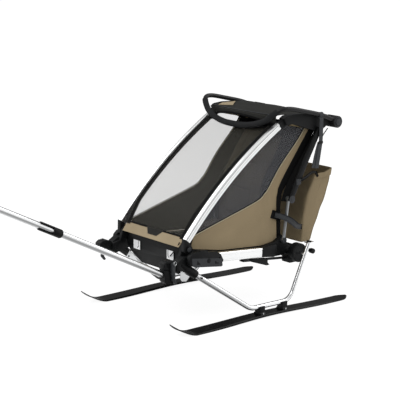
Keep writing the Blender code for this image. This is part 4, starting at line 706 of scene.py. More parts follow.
# Cast, moulded and turned pieces keep their solid's shape, with broken edges
def dressSolids():
    finishes = {
        "strut_boot": (nylon, 0.0015), "front_corner": (nylon, 0.0010), "rear_casting": (nylon, 0.0010),
        "axle_housing": (nylon, 0.0008), "leaf_spring": (blackSteel, 0.0005),
        "spring_slider": (nylon, 0.0006), "dock": (nylon, 0.0006), "dock_button": (nylon, 0.0010),
        "hitch_block": (nylon, 0.0008), "hitch_lever": (greyNylon, 0.0010),
        "upright_shoe": (nylon, 0.0012), "lower_strut": (greyTube, 0.0008),
        "hub_button": (greyNylon, 0.0015), "top_arm": (nylon, 0.0010),
    }
    for base, (material, bevel) in finishes.items():
        for side in ("left", "right"):
            dressNode(f"{base}_{side}", material, bevel)
    for node, material, bevel in (
        ("front_cross_tube", drawnAluminium, 0.0008), ("axle_tube", blackSteel, 0.0008),
        ("hub_cross_tube", powderCoat, 0.0008), ("pole_foot", nylon, 0.0010), ("pole_collar", nylon, 0.0008),
        ("pole_end", nylon, 0.0008), ("brake_bar", nylon, 0.0010), ("floor_pan", nylon, 0.0010),
        ("front_panel", nylon, 0.0008),
    ):
        dressNode(node, material, bevel)


dressSolids()
print("castings and mouldings are dressed")


# Skis and their bent struts
ski = {
    "middle": 0.388, "length": 1.20, "tipLength": 0.140, "tipRise": 0.068, "camber": 0.008,
    "thickness": 0.012, "edgeThickness": 0.004, "shovel": 0.095, "waist": 0.075, "tail": 0.085,
    "shovelAt": 0.12, "waistAt": 0.55, "tailAt": 0.955, "tipHalf": 0.006, "tailEndHalf": 0.010,
    "restLength": 0.070, "tailLength": 0.080, "tailRise": 0.007,
    "saddles": (-0.014, 0.140), "heel": -0.078, "toe": 0.190, "footHeight": 0.0565,
}


def skiHalfWidth(share):
    shovel, waist, tail = ski["shovel"] / 2, ski["waist"] / 2, ski["tail"] / 2
    shovelAt, waistAt, tailAt = ski["shovelAt"], ski["waistAt"], ski["tailAt"]
    tip, end = ski["tipHalf"], ski["tailEndHalf"]
    if share < shovelAt:
        return tip + (shovel - tip) * math.sin(share / shovelAt * math.pi / 2) ** 0.8
    if share > tailAt:
        return end + (tail - end) * math.cos((share - tailAt) / (1 - tailAt) * math.pi / 2)
    if share < waistAt:
        turn = (share - shovelAt) / (waistAt - shovelAt) * math.pi
        return shovel + (waist - shovel) * (1 - math.cos(turn)) / 2
    turn = (share - waistAt) / (tailAt - waistAt) * math.pi
    return waist + (tail - waist) * (1 - math.cos(turn)) / 2


def skiBase(y):
    tipEnd = -ski["length"] / 2 + ski["tipLength"]
    restEnd = tipEnd + ski["restLength"]
    tailStart = ski["length"] / 2 - ski["tailLength"]
    rearRest = tailStart - ski["restLength"]
    if y < tipEnd:
        return ski["tipRise"] * ((tipEnd - y) / ski["tipLength"]) ** 1.7
    if y < restEnd or rearRest < y < tailStart:
        return 0.0
    if y >= tailStart:
        return ski["tailRise"] * ((y - tailStart) / ski["tailLength"]) ** 2
    return ski["camber"] * math.sin((y - restEnd) / (rearRest - restEnd) * math.pi) ** 2


def buildSkis():
    rings = []
    for step in range(91):
        share = step / 90
        y = (share - 0.5) * ski["length"]
        half = skiHalfWidth(share)
        low = skiBase(y)
        thin = ski["edgeThickness"]
        tall = thin + (ski["thickness"] - thin) * math.sin(math.pi * share) ** 0.7
        edge = min(0.005, half * 0.4)
        outer = [
            (half - 0.001, 0.0), (half, 0.001), (half, tall * 0.5), (half - edge * 0.3, tall * 0.72),
            (half - edge, tall), (half - edge - 0.002, tall),
        ]
        profile = [(0.001 - half, 0.0), *outer, (0.0, tall + 0.0006)]
        profile += [(-x, z) for x, z in reversed(outer[1:])]
        rings.append([(ski["middle"] + x, y, low + z) for x, z in profile])
    body = loftPiece("ski", rings)
    onBothSides(body, skiTop, "chassis", ["ski_left"], 30)

    # saddles that hold the strut between two ears, on screwed feet
    for number, y in enumerate(ski["saddles"]):
        top = ski["footHeight"]
        bore = 0.0131
        right = [(bore, top), (bore, top + 0.003), (0.0145, top + 0.0045), (0.0195, top + 0.0045)]
        right += [(0.0215, top + 0.003), (0.0215, 0.030), (0.028, 0.024), (0.032, 0.0185)]
        turns = [math.pi * (1 + step / 16) for step in range(1, 16)]
        hollow = [(bore * math.cos(turn), top + bore * math.sin(turn)) for turn in turns]
        outline = [(-x, z) for x, z in reversed(right)] + hollow + right
        outline = [(ski["middle"] + x, z) for x, z in outline]
        clip = bevelled(platePiece(f"skiClip{number}", outline, y - 0.017, y + 0.017, "y"), 0.0015, 3)
        onBothSides(clip, nylon, "chassis")
        for place, x in (("In", ski["middle"] - 0.0265), ("Out", ski["middle"] + 0.0265)):
            screw = rodPiece(f"skiScrew{number}{place}", (x, y, 0.021), (x, y, 0.0292), 0.0042, 16, 0.0036)
            onBothSides(bevelled(screw, 0.0006), zincSteel, "chassis")


def buildStruts():
    start = Vector((0.281, -0.455, 0.334))
    boot = Vector((0.2905, -0.361, 0.264))
    direction = (boot - start).normalized()
    foot = ski["footHeight"]
    corners = [
        boot - direction * 0.0337, boot + direction * 0.036, (ski["middle"], ski["heel"], foot),
        (ski["middle"], ski["toe"], foot), (ski["middle"], 0.324, 0.350),
    ]
    path = roundedPath(corners, 0.075, 12)
    heel, toe = ski["heel"], ski["toe"]
    # the tube swells up to its boot and narrows up to its plate
    radius, swell, taper, reach = 0.0125, 0.0020, 0.0017, 0.06
    radii = []
    for point in path:
        if point.y < heel:
            radii.append(radius + swell * min(1.0, max(0.0, (heel - point.y) / reach)))
        else:
            radii.append(radius - taper * min(1.0, max(0.0, (point.y - toe + reach / 2) / reach)))
    last = len(path) - 1
    tube = tubePiece("skiStrut", path, lambda share: roundSection(radii[round(share * last)], 32))
    axle = bevelled(rodPiece("strutAxle", (0.333, 0.2918, 0.288), (0.3895, 0.2918, 0.288), 0.0088), 0.0008)
    plate = bevelled(boxPiece("strutPlate", (0.368, 0.308, 0.344), (0.398, 0.354, 0.349)), 0.0012)
    strut = joined("skiStrut", [tube, axle, plate])
    onBothSides(strut, drawnAluminium, "chassis", ["ski_strut_left"])
    cap = bevelled(rodPiece("strutCap", (0.388, 0.3235, 0.3475), (0.388, 0.325, 0.3565), 0.0125), 0.002)
    onBothSides(cap, nylon, "chassis")
    # the bolt through the strut, just below its boot
    middle = Vector((0.2995, -0.335, 0.245))
    outward = Vector((0.963, -0.216, 0.159)).normalized()
    bolt = rodPiece("strutBolt", middle + outward * 0.0130, middle + outward * 0.0166, 0.0040, 6)
    washer = rodPiece("strutWasher", middle + outward * 0.0130, middle + outward * 0.0148, 0.0058, 24)
    bolt = joined("strutBolt", [bevelled(bolt, 0.0005), bevelled(washer, 0.0004)])
    onBothSides(bolt, blackSteel, "chassis")


buildSkis()
buildStruts()
print("skis and struts are bent")


# The bowed line of the uprights
def uprightLine(share, offset=0.0):
    foot, top, bow = Vector((-0.4085, 0.4430)), Vector((0.2270, 0.9810)), 0.036
    chord = top - foot
    radius = (chord.length ** 2 / 4 + bow ** 2) / (2 * bow)
    outward = Vector((-chord.y, chord.x)).normalized()
    centre = (foot + top) / 2 - outward * (radius - bow)
    first = math.atan2(foot.y - centre.y, foot.x - centre.x)
    last = math.atan2(top.y - centre.y, top.x - centre.x)
    turn = first + (last - first) * share
    reach = radius + offset
    return Vector((centre.x + reach * math.cos(turn), centre.y + reach * math.sin(turn)))


def buildFrame():
    upright = {
        "halfWidth": 0.013, "halfDepth": 0.019, "radii": (0.007, 0.004, 0.004, 0.007), "groove": 0.0022,
        "steps": 48,
    }
    w, d, g = upright["halfWidth"], upright["halfDepth"], upright["groove"]
    section = roundedSection(w, d, upright["radii"], 6)
    section += [(w, -0.0035), (w - g, -0.0028), (w - g, 0.0018), (w, 0.0025)]
    middle = frameIn + w
    steps = upright["steps"]
    path = [Vector((middle, *uprightLine(step / steps))) for step in range(steps + 1)]
    rail = bevelled(loftPiece("upright", ringsAlong(path, section, (1, 0, 0))), 0.0006, 1, 60)
    onBothSides(rail, aluminium, "upper_frame", ["upright_left"], 30)

    # dark keder line beside the front corner of each upright, and the moulded cap at its top
    shares = [0.004 + 0.95 * step / steps for step in range(steps + 1)]
    path = [Vector((frameOut + 0.0001, *uprightLine(share, 0.0100))) for share in shares]
    line = [(-0.0005, -0.0011), (0.0003, -0.0011), (0.0003, 0.0011), (-0.0005, 0.0011)]
    keder = loftPiece("uprightKeder", ringsAlong(path, line, (1, 0, 0)))
    onBothSides(keder, greyWebbing, "upper_frame")
    w, d = w + 0.0022, d + 0.0022
    cap = [(-w, -d), (w - 0.004, -d), (w, -d + 0.004), (w, d - 0.004), (w - 0.004, d), (-w, d)]
    path = [Vector((middle, *uprightLine(share))) for share in (0.962, 0.975, 0.99, 1.005, 1.018)]
    cap = bevelled(loftPiece("uprightCap", ringsAlong(path, cap, (1, 0, 0))), 0.0012, 2, 50)
    onBothSides(cap, nylon, "upper_frame")

    rail = {
        "in": 0.272, "front": (-0.3997, 0.348), "rear": (0.0727, 0.312), "width": 0.030, "height": 0.050,
        "radii": (0.006, 0.006, 0.006, 0.006),
    }
    w, h = rail["width"] / 2, rail["height"] / 2
    section = roundedSection(w, h, rail["radii"], 5)
    section += [(w, -0.0135), (w - 0.0012, -0.0130), (w - 0.0012, -0.0118), (w, -0.0113)]
    low, floor = h * 0.4, w - 0.0025
    section += [(w, low), (floor, low + 0.0004), (floor, low + 0.0036), (w, low + 0.004)]
    front = Vector((rail["in"] + w, *rail["front"]))
    rear = Vector((rail["in"] + w, *rail["rear"]))
    rings = ringsAlong([front.lerp(rear, step / 12) for step in range(13)], section, (1, 0, 0))
    onBothSides(loftPiece("sideRail", rings), aluminium, "chassis", ["side_rail_left"], 30)


def buildPoles():
    pole = {
        "x": 0.276, "root": (-0.557, 0.294), "angle": 26.5, "radius": 0.016, "lower": 0.700, "whole": 1.55219,
    }
    turn = math.radians(pole["angle"])
    along = Vector((0, -math.cos(turn), math.sin(turn)))
    root = Vector((pole["x"], *pole["root"]))
    for name, node, start, end in (
        ("poleLower", "pole_lower", -0.0457, pole["lower"]),
        ("poleUpper", "pole_upper", pole["lower"] + 0.0003, pole["whole"]),
    ):
        tube = bevelled(rodPiece(name, root + along * start, root + along * end, pole["radius"], 48), 0.0008)
        finishPiece(tube, drawnAluminium, "chassis", [node])


def handlePath():
    left = [
        (0.32185, 0.547, 0.970), (0.32185, 0.455, 1.005), (0.32185, 0.340, 1.034), (0.32185, 0.240, 1.056),
        (0.30885, 0.186, 1.052), (0.270, 0.158, 1.022), (0.225, 0.146, 0.988), (0.1435, 0.132, 0.963),
        (0.05125, 0.123, 0.9525),
    ]
    return left + [(-x, y, z) for x, y, z in reversed(left)]


def buildHandlebar():
    bar = {
        "radius": 0.012, "sleeve": 0.016, "bareSteps": 52, "ring": 0.032, "ringIn": 0.3046, "ringOut": 0.3391,
    }
    path = smoothPath(handlePath(), 12)
    parts = [tubePiece("handlebarTube", path, bar["radius"], 28)]
    for side in (-1, 1):
        ends = [(side * bar[face], *hub) for face in ("ringIn", "ringOut")]
        parts.append(bevelled(rodPiece("hubRing", *ends, bar["ring"], 48), 0.003, 3))
    whole = joined("handlebarTube", parts)
    finishPiece(whole, powderCoat, "handlebar", ["handlebar"])
    foam = path[bar["bareSteps"] : len(path) - bar["bareSteps"]]
    sleeve = tubePiece("handlebarGrip", foam, bar["sleeve"], 28)
    finishPiece(bevelled(sleeve, 0.004, 3, 60), foamRubber, "handlebar", ["handlebar_grip"])
    # the hub's end: a raised pale ring round a dark gap
    trim = torusPiece("hubTrim", (0.3392, *hub), 0.0235, 0.0024, (64, 12))
    onBothSides(trim, greyNylon, "handlebar")
    # webbing loop round the tube, which carries the wrist strap
    loop = []
    for step in range(25):
        turn = 2 * math.pi * step / 24
        loop.append(Vector((0.32185 + 0.0134 * math.sin(turn), 0.452, 1.0062 + 0.0134 * math.cos(turn))))
    loop = loftPiece("strapLoop", ringsAlong(loop, flatSection(0.013, 0.0008), (0, 1, 0)))
    finishPiece(loop, greyWebbing, "handlebar")


# The upper link of each folding strut: a wide oval moulding between its pin and the knuckle
def buildUpperStruts():
    link = {
        "x": 0.3141, "thickness": 0.0185, "width": 0.037, "endWidth": 0.029, "shift": 0.006,
        "pastKnuckle": 0.012, "pastPin": 0.010, "squareness": 0.7,
    }
    low, high = Vector(knuckle), Vector(upperPivot)
    along = (high - low).normalized()
    front = Vector((-along.y, along.x))
    low, high = low - along * link["pastKnuckle"], high + along * link["pastPin"]
    path = []
    for step in range(17):
        share = step / 16
        spot = low.lerp(high, share) + front * link["shift"] * math.sin(math.pi * share)
        path.append(Vector((link["x"], spot.x, spot.y)))

    def section(share):
        wide = link["endWidth"] + (link["width"] - link["endWidth"]) * math.sin(math.pi * share) ** 0.6
        wide *= min(1.0, 0.72 + 4 * min(share, 1 - share))
        turns = [2 * math.pi * step / 28 for step in range(28)]
        thick, power = link["thickness"], link["squareness"]
        return [
            (squared(math.cos(turn), power) * thick / 2, squared(math.sin(turn), power) * wide / 2)
            for turn in turns
        ]

    tube = loftPiece("upperStrut", ringsAlong(path, section, (1, 0, 0)))
    node = "upper_strut_left"
    onBothSides(bevelled(tube, 0.0020, 2, 50), nylon, node, [node])


buildFrame()
buildPoles()
buildUpperStruts()
buildHandlebar()
print("frame, poles and handlebar are up")


def buildWindscreen():
    screen = {
        "start": -0.050, "end": 0.915, "half": 0.2575, "foot": 0.240, "widening": 3.2,
        "edgeWidth": 0.031, "flush": 0.0155, "flushFrom": 0.02, "flushWithin": 0.15,
    }

    def half(share):
        wider = min(1.0, max(0.0, (share - screen["start"]) * screen["widening"]))
        return screen["foot"] + (screen["half"] - screen["foot"]) * wider

    # the screen starts inside the uprights at its foot and soon lies flush with their front faces
    def screenLine(share, offset):
        out = min(1.0, max(0.0, (share - screen["flushFrom"]) / screen["flushWithin"]))
        return uprightLine(share, offset + screen["flush"] * out)

    def onScreen(offset, first, last, edgeIn=0.0):
        def shape(u, v):
            share = first + (last - first) * v
            spot = screenLine(share, offset)
            return ((u * 2 - 1) * (half(share) - edgeIn), spot.x, spot.y)

        return shape

    def across(share, x, offset):
        spot = screenLine(share, offset)
        return Vector((x, spot.x, spot.y))

    start, end = screen["start"], screen["end"]
    for name, rows, place, size, thickness, cloth, replaced in (
        ("windscreenFilm", 48, (-0.0055, 0.0, end, 0.012), (0.5, 0.85), 0.0006, windowFilm, ["front_cover"]),
        # the nose band takes the canvas painted paler for the light on it
        ("noseBand", 6, (-0.0035, start, 0.022), (0.48, 0.06), 0.0020, khakiPaintedLit, ()),
        ("noseLining", 6, (-0.0068, start + 0.004, 0.022, 0.002), (0.48, 0.06), 0.0008, blackCloth, ()),
    ):
        sheet = gridPiece(name, 24, rows, onScreen(*place), size)
        finishPiece(thickened(sheet, thickness), cloth, "upper_frame", replaced)

    # a bare tab in the middle of the band's upper edge
    outline = [(-0.070, 0.0215), (0.070, 0.0215), (0.036, -0.0225), (-0.036, -0.0225)]
    tab = gridPiece(
        "noseTab", 12, 6,
        lambda u, v: ((u * 2 - 1) * (0.036 + 0.034 * v), *uprightLine(-0.0225 + 0.044 * v, -0.0014)),
        (0.14, 0.034),
    )
    finishPiece(bevelled(thickened(tab, 0.0024), 0.0005, 1), charcoal, "upper_frame")
    rim = [across(share, x, -0.0006) for x, share in (*outline, outline[0])]
    finishPiece(stitchRow("noseTabStitches", rim, 0.005), thread, "upper_frame")

    edgeShares = [0.005 + 0.93 * step / 40 for step in range(41)]
    wide = screen["edgeWidth"] / 2
    section = [(-wide + 0.001, -0.0012), (wide - 0.001, -0.0012), (wide, 0.0), (wide - 0.001, 0.0012)]
    section += [(-wide + 0.001, 0.0012), (-wide, 0.0)]
    for side, word in ((1, "Left"), (-1, "Right")):
        path = [across(share, side * (half(share) - wide), -0.0020) for share in edgeShares]
        edge = loftPiece("windscreenEdge" + word, ringsAlong(path, section, (1, 0, 0)))
        finishPiece(edge, blackCloth, "upper_frame")
        for name, shift in (("Inner", wide * 1.7), ("Outer", 0.004)):
            seam = [across(share, side * (half(share) - shift), -0.0004) for share in edgeShares]
            row = stitchRow(f"windscreenStitches{name}{word}", seam)
            finishPiece(row, thread, "upper_frame")
    for name, share, wide in (("windscreenHem", 0.020, 0.0045), ("windscreenTop", 0.912, 0.008)):
        spot = screenLine(share, -0.0030)
        tangent = (screenLine(share + 0.01, -0.0030) - spot).normalized()
        normal = Vector((-tangent.y, tangent.x))
        profile = [spot + tangent * a + normal * b for a, b in flatSection(wide, 0.0012)]
        spread = [(step / 12 - 1) * (half(share) - 0.002) for step in range(25)]
        rings = [[(x, *point) for point in profile] for x in spread]
        finishPiece(loftPiece(name, rings), blackCloth, "upper_frame")


windowEdge = [
    (-0.352, 0.458), (-0.170, 0.510), (0.066, 0.579), (0.120, 0.613), (0.149, 0.642), (0.231, 0.750),
    (0.340, 0.863), (0.400, 0.935),
]
wallEdge = [
    (-0.372, 0.395), (-0.169, 0.358), (0.100, 0.340), (0.206, 0.355), (0.202, 0.500), (0.226, 0.655),
    (0.341, 0.814), (0.431, 0.933),
]


def buildSides():
    slack = {
        "swell": 0.0012, "wave": 0.0012, "waveScale": 9, "fold": 0.0011, "foldTurns": (34, 21),
        "foldAt": 0.12, "foldReach": 0.10,
    }
    inner = smoothPath([(*place, 0) for place in windowEdge], 6)
    rim = []
    for a, b in zip(wallEdge, wallEdge[1:]):
        rim += [Vector((*a, 0)).lerp(Vector((*b, 0)), step / 6) for step in range(6)]
    rim.append(Vector((*wallEdge[-1], 0)))

    def wallAt(inset, waviness):
        def wall(u, v):
            index = min(int(round(u * (len(inner) - 1))), len(inner) - 1)
            spot = inner[index].lerp(rim[index], v)
            swell = math.sin(math.pi * v) * math.sin(math.pi * min(1.0, u * 1.1))
            # slack folds that run from the window's corner to the rail
            a, b = slack["foldTurns"]
            fold = slack["fold"] * math.sin(spot.x * a + spot.y * b)
            fold *= math.exp(-((spot.x - slack["foldAt"]) / slack["foldReach"]) ** 2)
            scale = slack["waveScale"]
            wave = noise.noise(Vector((spot.x * scale, spot.y * scale, 0.3))) * slack["wave"]
            out = waviness * swell * (slack["swell"] + wave + fold)
            return (clothOut - 0.0016 - inset + out, spot.x, spot.y)

        return wall

    cloth = gridPiece("sideWall", len(inner) - 1, 12, wallAt(0.0, 1.0), (1.1, 0.25))
    pair = onBothSides(
        thickened(subdivided(cloth), 0.0016), khaki, "folding", ["side_panel_left"]
    )
    lining = gridPiece("sideLining", len(inner) - 1, 12, wallAt(0.0024, 0.0), (1.1, 0.25))
    pair = onBothSides(thickened(lining, 0.0008), blackCloth, "folding")

    edge = [uprightLine(0.02 + 0.955 * step / 20, -0.006) for step in range(21)]
    upper = [Vector((*spot, 0)) for spot in edge] + [Vector((0.300, 0.972, 0)), Vector((0.405, 0.940, 0))]
    upper = smoothPath(upper, 2)

    def pane(u, v):
        spot = alongPath(inner, u).lerp(alongPath(upper, u), v)
        return (clothOut - 0.0022, spot.x, spot.y)

    film = gridPiece("sideWindow", 48, 16, pane, (0.9, 0.3))
    pair = onBothSides(thickened(film, 0.0006), smokeFilm, "folding")

    def besideWindow(shift, out):
        path = []
        for index, spot in enumerate(inner):
            along = (inner[min(index + 1, len(inner) - 1)] - inner[max(index - 1, 0)]).normalized()
            moved = spot + Vector((along.y, -along.x, 0)) * shift
            path.append(Vector((clothOut + out, moved.x, moved.y)))
        return path

    for name, shift, radius, material in (
        ("windowPiping", 0.0, 0.0022, pipingCloth), ("windowBinding", -0.0045, 0.0022, blackCloth),
    ):
        rings = ringsAlong(besideWindow(shift, -0.0006), roundSection(radius, 10, 0.7), (1, 0, 0))
        onBothSides(loftPiece(name, rings), material, "folding")
    onBothSides(
        stitchRow("windowStitches", besideWindow(0.0045, 0.0006)), thread, "folding"
    )
    # pale lining that peeps out under the top arm
    places = [(0.2632, 0.275, 0.966), (0.2632, 0.364, 0.946), (0.2632, 0.452, 0.926)]
    strip = strapPiece("armLining", places, 0.0016, 0.009, (1, 0, 0))
    onBothSides(strip, paleKhaki, "upper_frame")


def buildRearWall():
    rear = {
        # y, z and how far the wall stands behind that place
        "line": (
            (0.214, 0.357, 0.020), (0.200, 0.576, 0.034), (0.226, 0.655, 0.052), (0.341, 0.814, 0.056),
            (0.431, 0.933, 0.048),
        ),
        "half": clothOut - 0.0006, "seam": 0.0008, "bow": 0.007, "slack": 0.0012,
    }
    line = smoothPath(rear["line"], 6)
    half, seam = rear["half"], rear["seam"]

    def wall(u, v):
        y, z, depth = line[round(v * (len(line) - 1))]
        # a sixth of the cloth turns round each corner
        turn = u * 6
        if turn < 1:
            x, back = half, seam + (depth - seam) * turn
        elif turn > 5:
            x, back = -half, seam + (depth - seam) * (6 - turn)
        else:
            x, back = half * (1 - (turn - 1) / 2), depth
            back += rear["bow"] * math.sin(math.pi * (turn - 1) / 4) ** 2
        back += rear["slack"] * noise.noise(Vector((x * 8, z * 9, 0)))
        return (x, y + back, z)

    cloth = gridPiece("rearWall", 36, len(line) - 1, wall, (0.7, 0.65))
    cloth = bevelled(thickened(cloth, 0.0016, 1.0), 0.0006, 1)
    finishPiece(cloth, blackCloth, "folding", ["rear_panel"], 50)


# Black elastic gusset from the rear wall's corner out to each folding strut
def buildGussets():
    stations = [(0.203, 0.560, 0.033), (0.226, 0.655, 0.052), (0.341, 0.814, 0.056), (0.431, 0.928, 0.048)]
    line = smoothPath(stations, 6)

    def gusset(u, v):
        y, z, depth = line[round(v * (len(line) - 1))]
        strutY = knuckle[0] + (z - knuckle[1]) * 0.5556
        inner = Vector((clothOut - 0.0004, y + depth))
        outer = Vector((0.3030, max(strutY, y + depth * 0.5) + 0.004))
        spot = inner.lerp(outer, u)
        slack = 0.006 * math.sin(math.pi * u) * math.sin(math.pi * v)
        return (spot.x, spot.y + slack, z)

    cloth = gridPiece("rearGusset", 6, len(line) - 1, gusset, (0.05, 0.45))
    pair = onBothSides(thickened(cloth, 0.0012), blackCloth, "folding")


# A place across the canopy: its middle stands up by the crown, its sides lie back by the bow.
def canopyRing(y, z, bow, x, crown=0.006):
    share = abs(x) / clothOut
    return (x, y + bow * share ** 2, z + crown * math.cos(share * math.pi / 2))


def buildCanopy():
    canopy = {
        # y, z and bow
        "line": (
            (0.150, 1.019, 0.045), (0.215, 1.020, 0.0225), (0.290, 1.018, 0.0), (0.400, 1.017, 0.0),
            (0.480, 1.004, 0.0), (0.530, 0.986, 0.0),
        ),
        "lipMiddle": 1.003, "lipArch": 0.55, "thickness": 0.0022, "wave": 0.0014, "ripple": 0.0007,
    }
    line = smoothPath(canopy["line"], 6)

    def roofAt(row, x):
        y, z, bow = line[row]
        x, y, z = canopyRing(y, z, max(0.0, bow), x)
        wave = canopy["wave"] * noise.noise(Vector((x * 7, y * 9, 2.0)))
        wave += canopy["ripple"] * math.sin(y * 60 + x * 25)
        return (x, y, z + wave * math.cos(x / clothOut * math.pi / 2))

    last = len(line) - 1
    roof = gridPiece(
        "canopyRoof", 36, last, lambda u, v: roofAt(round(v * last), (u * 2 - 1) * clothOut), (0.56, 0.40)
    )
    finishPiece(thickened(roof, canopy["thickness"]), charcoal, "upper_frame", ["canopy"])

    def lipAt(x, v):
        top = canopyRing(*canopy["line"][0], x)
        low = canopy["lipMiddle"] - canopy["lipArch"] * x ** 2
        return (x, top[1] - 0.0012 * math.sin(math.pi * v), top[2] + 0.0005 + (low - top[2]) * v)

    lip = gridPiece("canopyLip", 36, 6, lambda u, v: lipAt((u * 2 - 1) * clothOut, v), (0.56, 0.05))
    finishPiece(thickened(lip, 0.0018, 1.0), charcoal, "upper_frame")

    spread = [(step / 24 - 1) * clothOut * 0.998 for step in range(49)]
    seam = [Vector(lipAt(x, 0.0)) + Vector((0, -0.0008, 0.0004)) for x in spread]
    piping = tubePiece("canopyPiping", seam, 0.0017, 10, (0, 0, 1))
    finishPiece(piping, greyWebbing, "upper_frame")
    hem = [Vector(lipAt(x, 1.0)) for x in spread]
    binding = [(-0.0055, -0.0017), (0.0055, -0.0017), (0.0062, 0.0)]
    binding += [(-a, -b) for a, b in binding]
    finishPiece(
        loftPiece("canopyBinding", ringsAlong(hem, binding, (0, 0, 1))), blackCloth, "upper_frame"
    )
    row = [Vector(lipAt(x, 0.22)) + Vector((0, -0.0022, 0)) for x in spread]
    finishPiece(stitchRow("canopyStitches", row), thread, "upper_frame")

    # khaki patch sewn on the right front corner
    corners = [(-0.128, 0.228), (-0.200, 0.186), (-0.255, 0.258), (-0.252, 0.352)]

    def patchAt(u, v):
        low = Vector(corners[0]).lerp(Vector(corners[1]), u)
        high = Vector(corners[3]).lerp(Vector(corners[2]), u)
        x, y = low.lerp(high, v)
        return (x, y, 1.0213 + 0.006 * math.cos(abs(x) / clothOut * math.pi / 2))

    patch = gridPiece("canopyPatch", 8, 8, patchAt, (0.07, 0.10))
    # the patch takes the canvas painted paler for light
    finishPiece(bevelled(thickened(patch, 0.0012), 0.0004, 1), khakiPaintedLit, "upper_frame")


# Gives the bag and what hangs on it meshes of their own
def crumpled(pieces):
    for piece in pieces:
        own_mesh(piece)


def buildBag():
    sack = {
        "rows": (
            # z, front y, rear y, half width
            (0.289, 0.452, 0.508, 0.188), (0.302, 0.444, 0.520, 0.195), (0.367, 0.449, 0.545, 0.197),
            (0.433, 0.452, 0.579, 0.198), (0.500, 0.470, 0.615, 0.198), (0.554, 0.485, 0.640, 0.197),
            (0.610, 0.516, 0.659, 0.196), (0.660, 0.541, 0.669, 0.196),
        ),
        "squareness": 0.15, "sag": 0.0045, "ripple": 0.004, "crease": 0.0022, "rimLift": 0.018,
    }
    rows = sack["rows"]
    line = smoothPath([(front, rear, half) for _, front, rear, half in rows], 4)
    heights = smoothPath([(z, 0, 0) for z, _, _, _ in rows], 4)

    def shell(u, v, out=0.0):
        row = v * (len(line) - 1)
        low = min(int(row), len(line) - 2)
        front, rear, half = line[low].lerp(line[low + 1], row - low)
        z = heights[low].lerp(heights[low + 1], row - low).x
        middle = (front + rear) / 2
        deep = (rear - front) / 2
        turn = u * 2 * math.pi
        power = sack["squareness"]
        cx, cy = squared(math.cos(turn), power), squared(math.sin(turn), power)
        sag = sack["sag"] * math.sin(v * math.pi) * (1 + math.sin(turn * 3))
        ripple = sack["ripple"] * noise.noise(Vector((cx * 2, cy * 2, z * 14)))
        crease = -sack["crease"] * math.sin(z * 55 + turn * 4) * math.sin(v * math.pi) ** 2
        lift = sack["rimLift"] * (cy > 0) * abs(cy) * v ** 6
        dent = min(0.0, ripple + crease - sag * 0.3)
        return (cx * (half + out), middle + cy * (deep + out + dent), z + lift)

    bag = gridPiece("rearBag", 72, len(line) - 1, shell, (1.0, 0.4))
    edited(bag, merge)
    lowest = min(corner.co.z for corner in bag.data.vertices)
    shape = bmesh.new()
    shape.from_mesh(bag.data)
    edges = [e for e in shape.edges if e.is_boundary and all(c.co.z < lowest + 0.006 for c in e.verts)]
    bmesh.ops.edgeloop_fill(shape, edges=edges)
    bmesh.ops.recalc_face_normals(shape, faces=shape.faces)
    shape.to_mesh(bag.data)
    shape.free()
    finishPiece(thickened(bag, 0.0022, -1.0), khaki, "chassis", ["rear_bag"], 60)
    trims = []

    # the folded hem round the rim, sewn once along its lower edge
    def hemAt(u, v):
        if v < 0.12:
            return shell(u, 0.9 + 0.1 * 0.12, 0.0004)
        return shell(u, 0.9 + 0.1 * v, 0.0026)

    hem = gridPiece("bagHem", 72, 6, hemAt, (1.0, 0.03))
    finishPiece(thickened(hem, 0.0012, 1.0), khaki, "chassis", (), 60)
    row = [Vector(shell(step / 96, 0.925, 0.0032)) for step in range(97)]
    row = stitchRow("bagStitches", row, 0.008)
    finishPiece(row, thread, "chassis")
    trims += [hem, row]
    for side, word in ((1, "Left"), (-1, "Right")):
        row = [Vector(shell(0.25 - side * 0.216, 0.06 + 0.82 * step / 30, 0.0006)) for step in range(31)]
        tube = tubePiece("bagPiping" + word, row, 0.0018, 8)
        finishPiece(tube, khaki, "chassis")
        trims.append(tube)
    crumpled([bag, *trims])


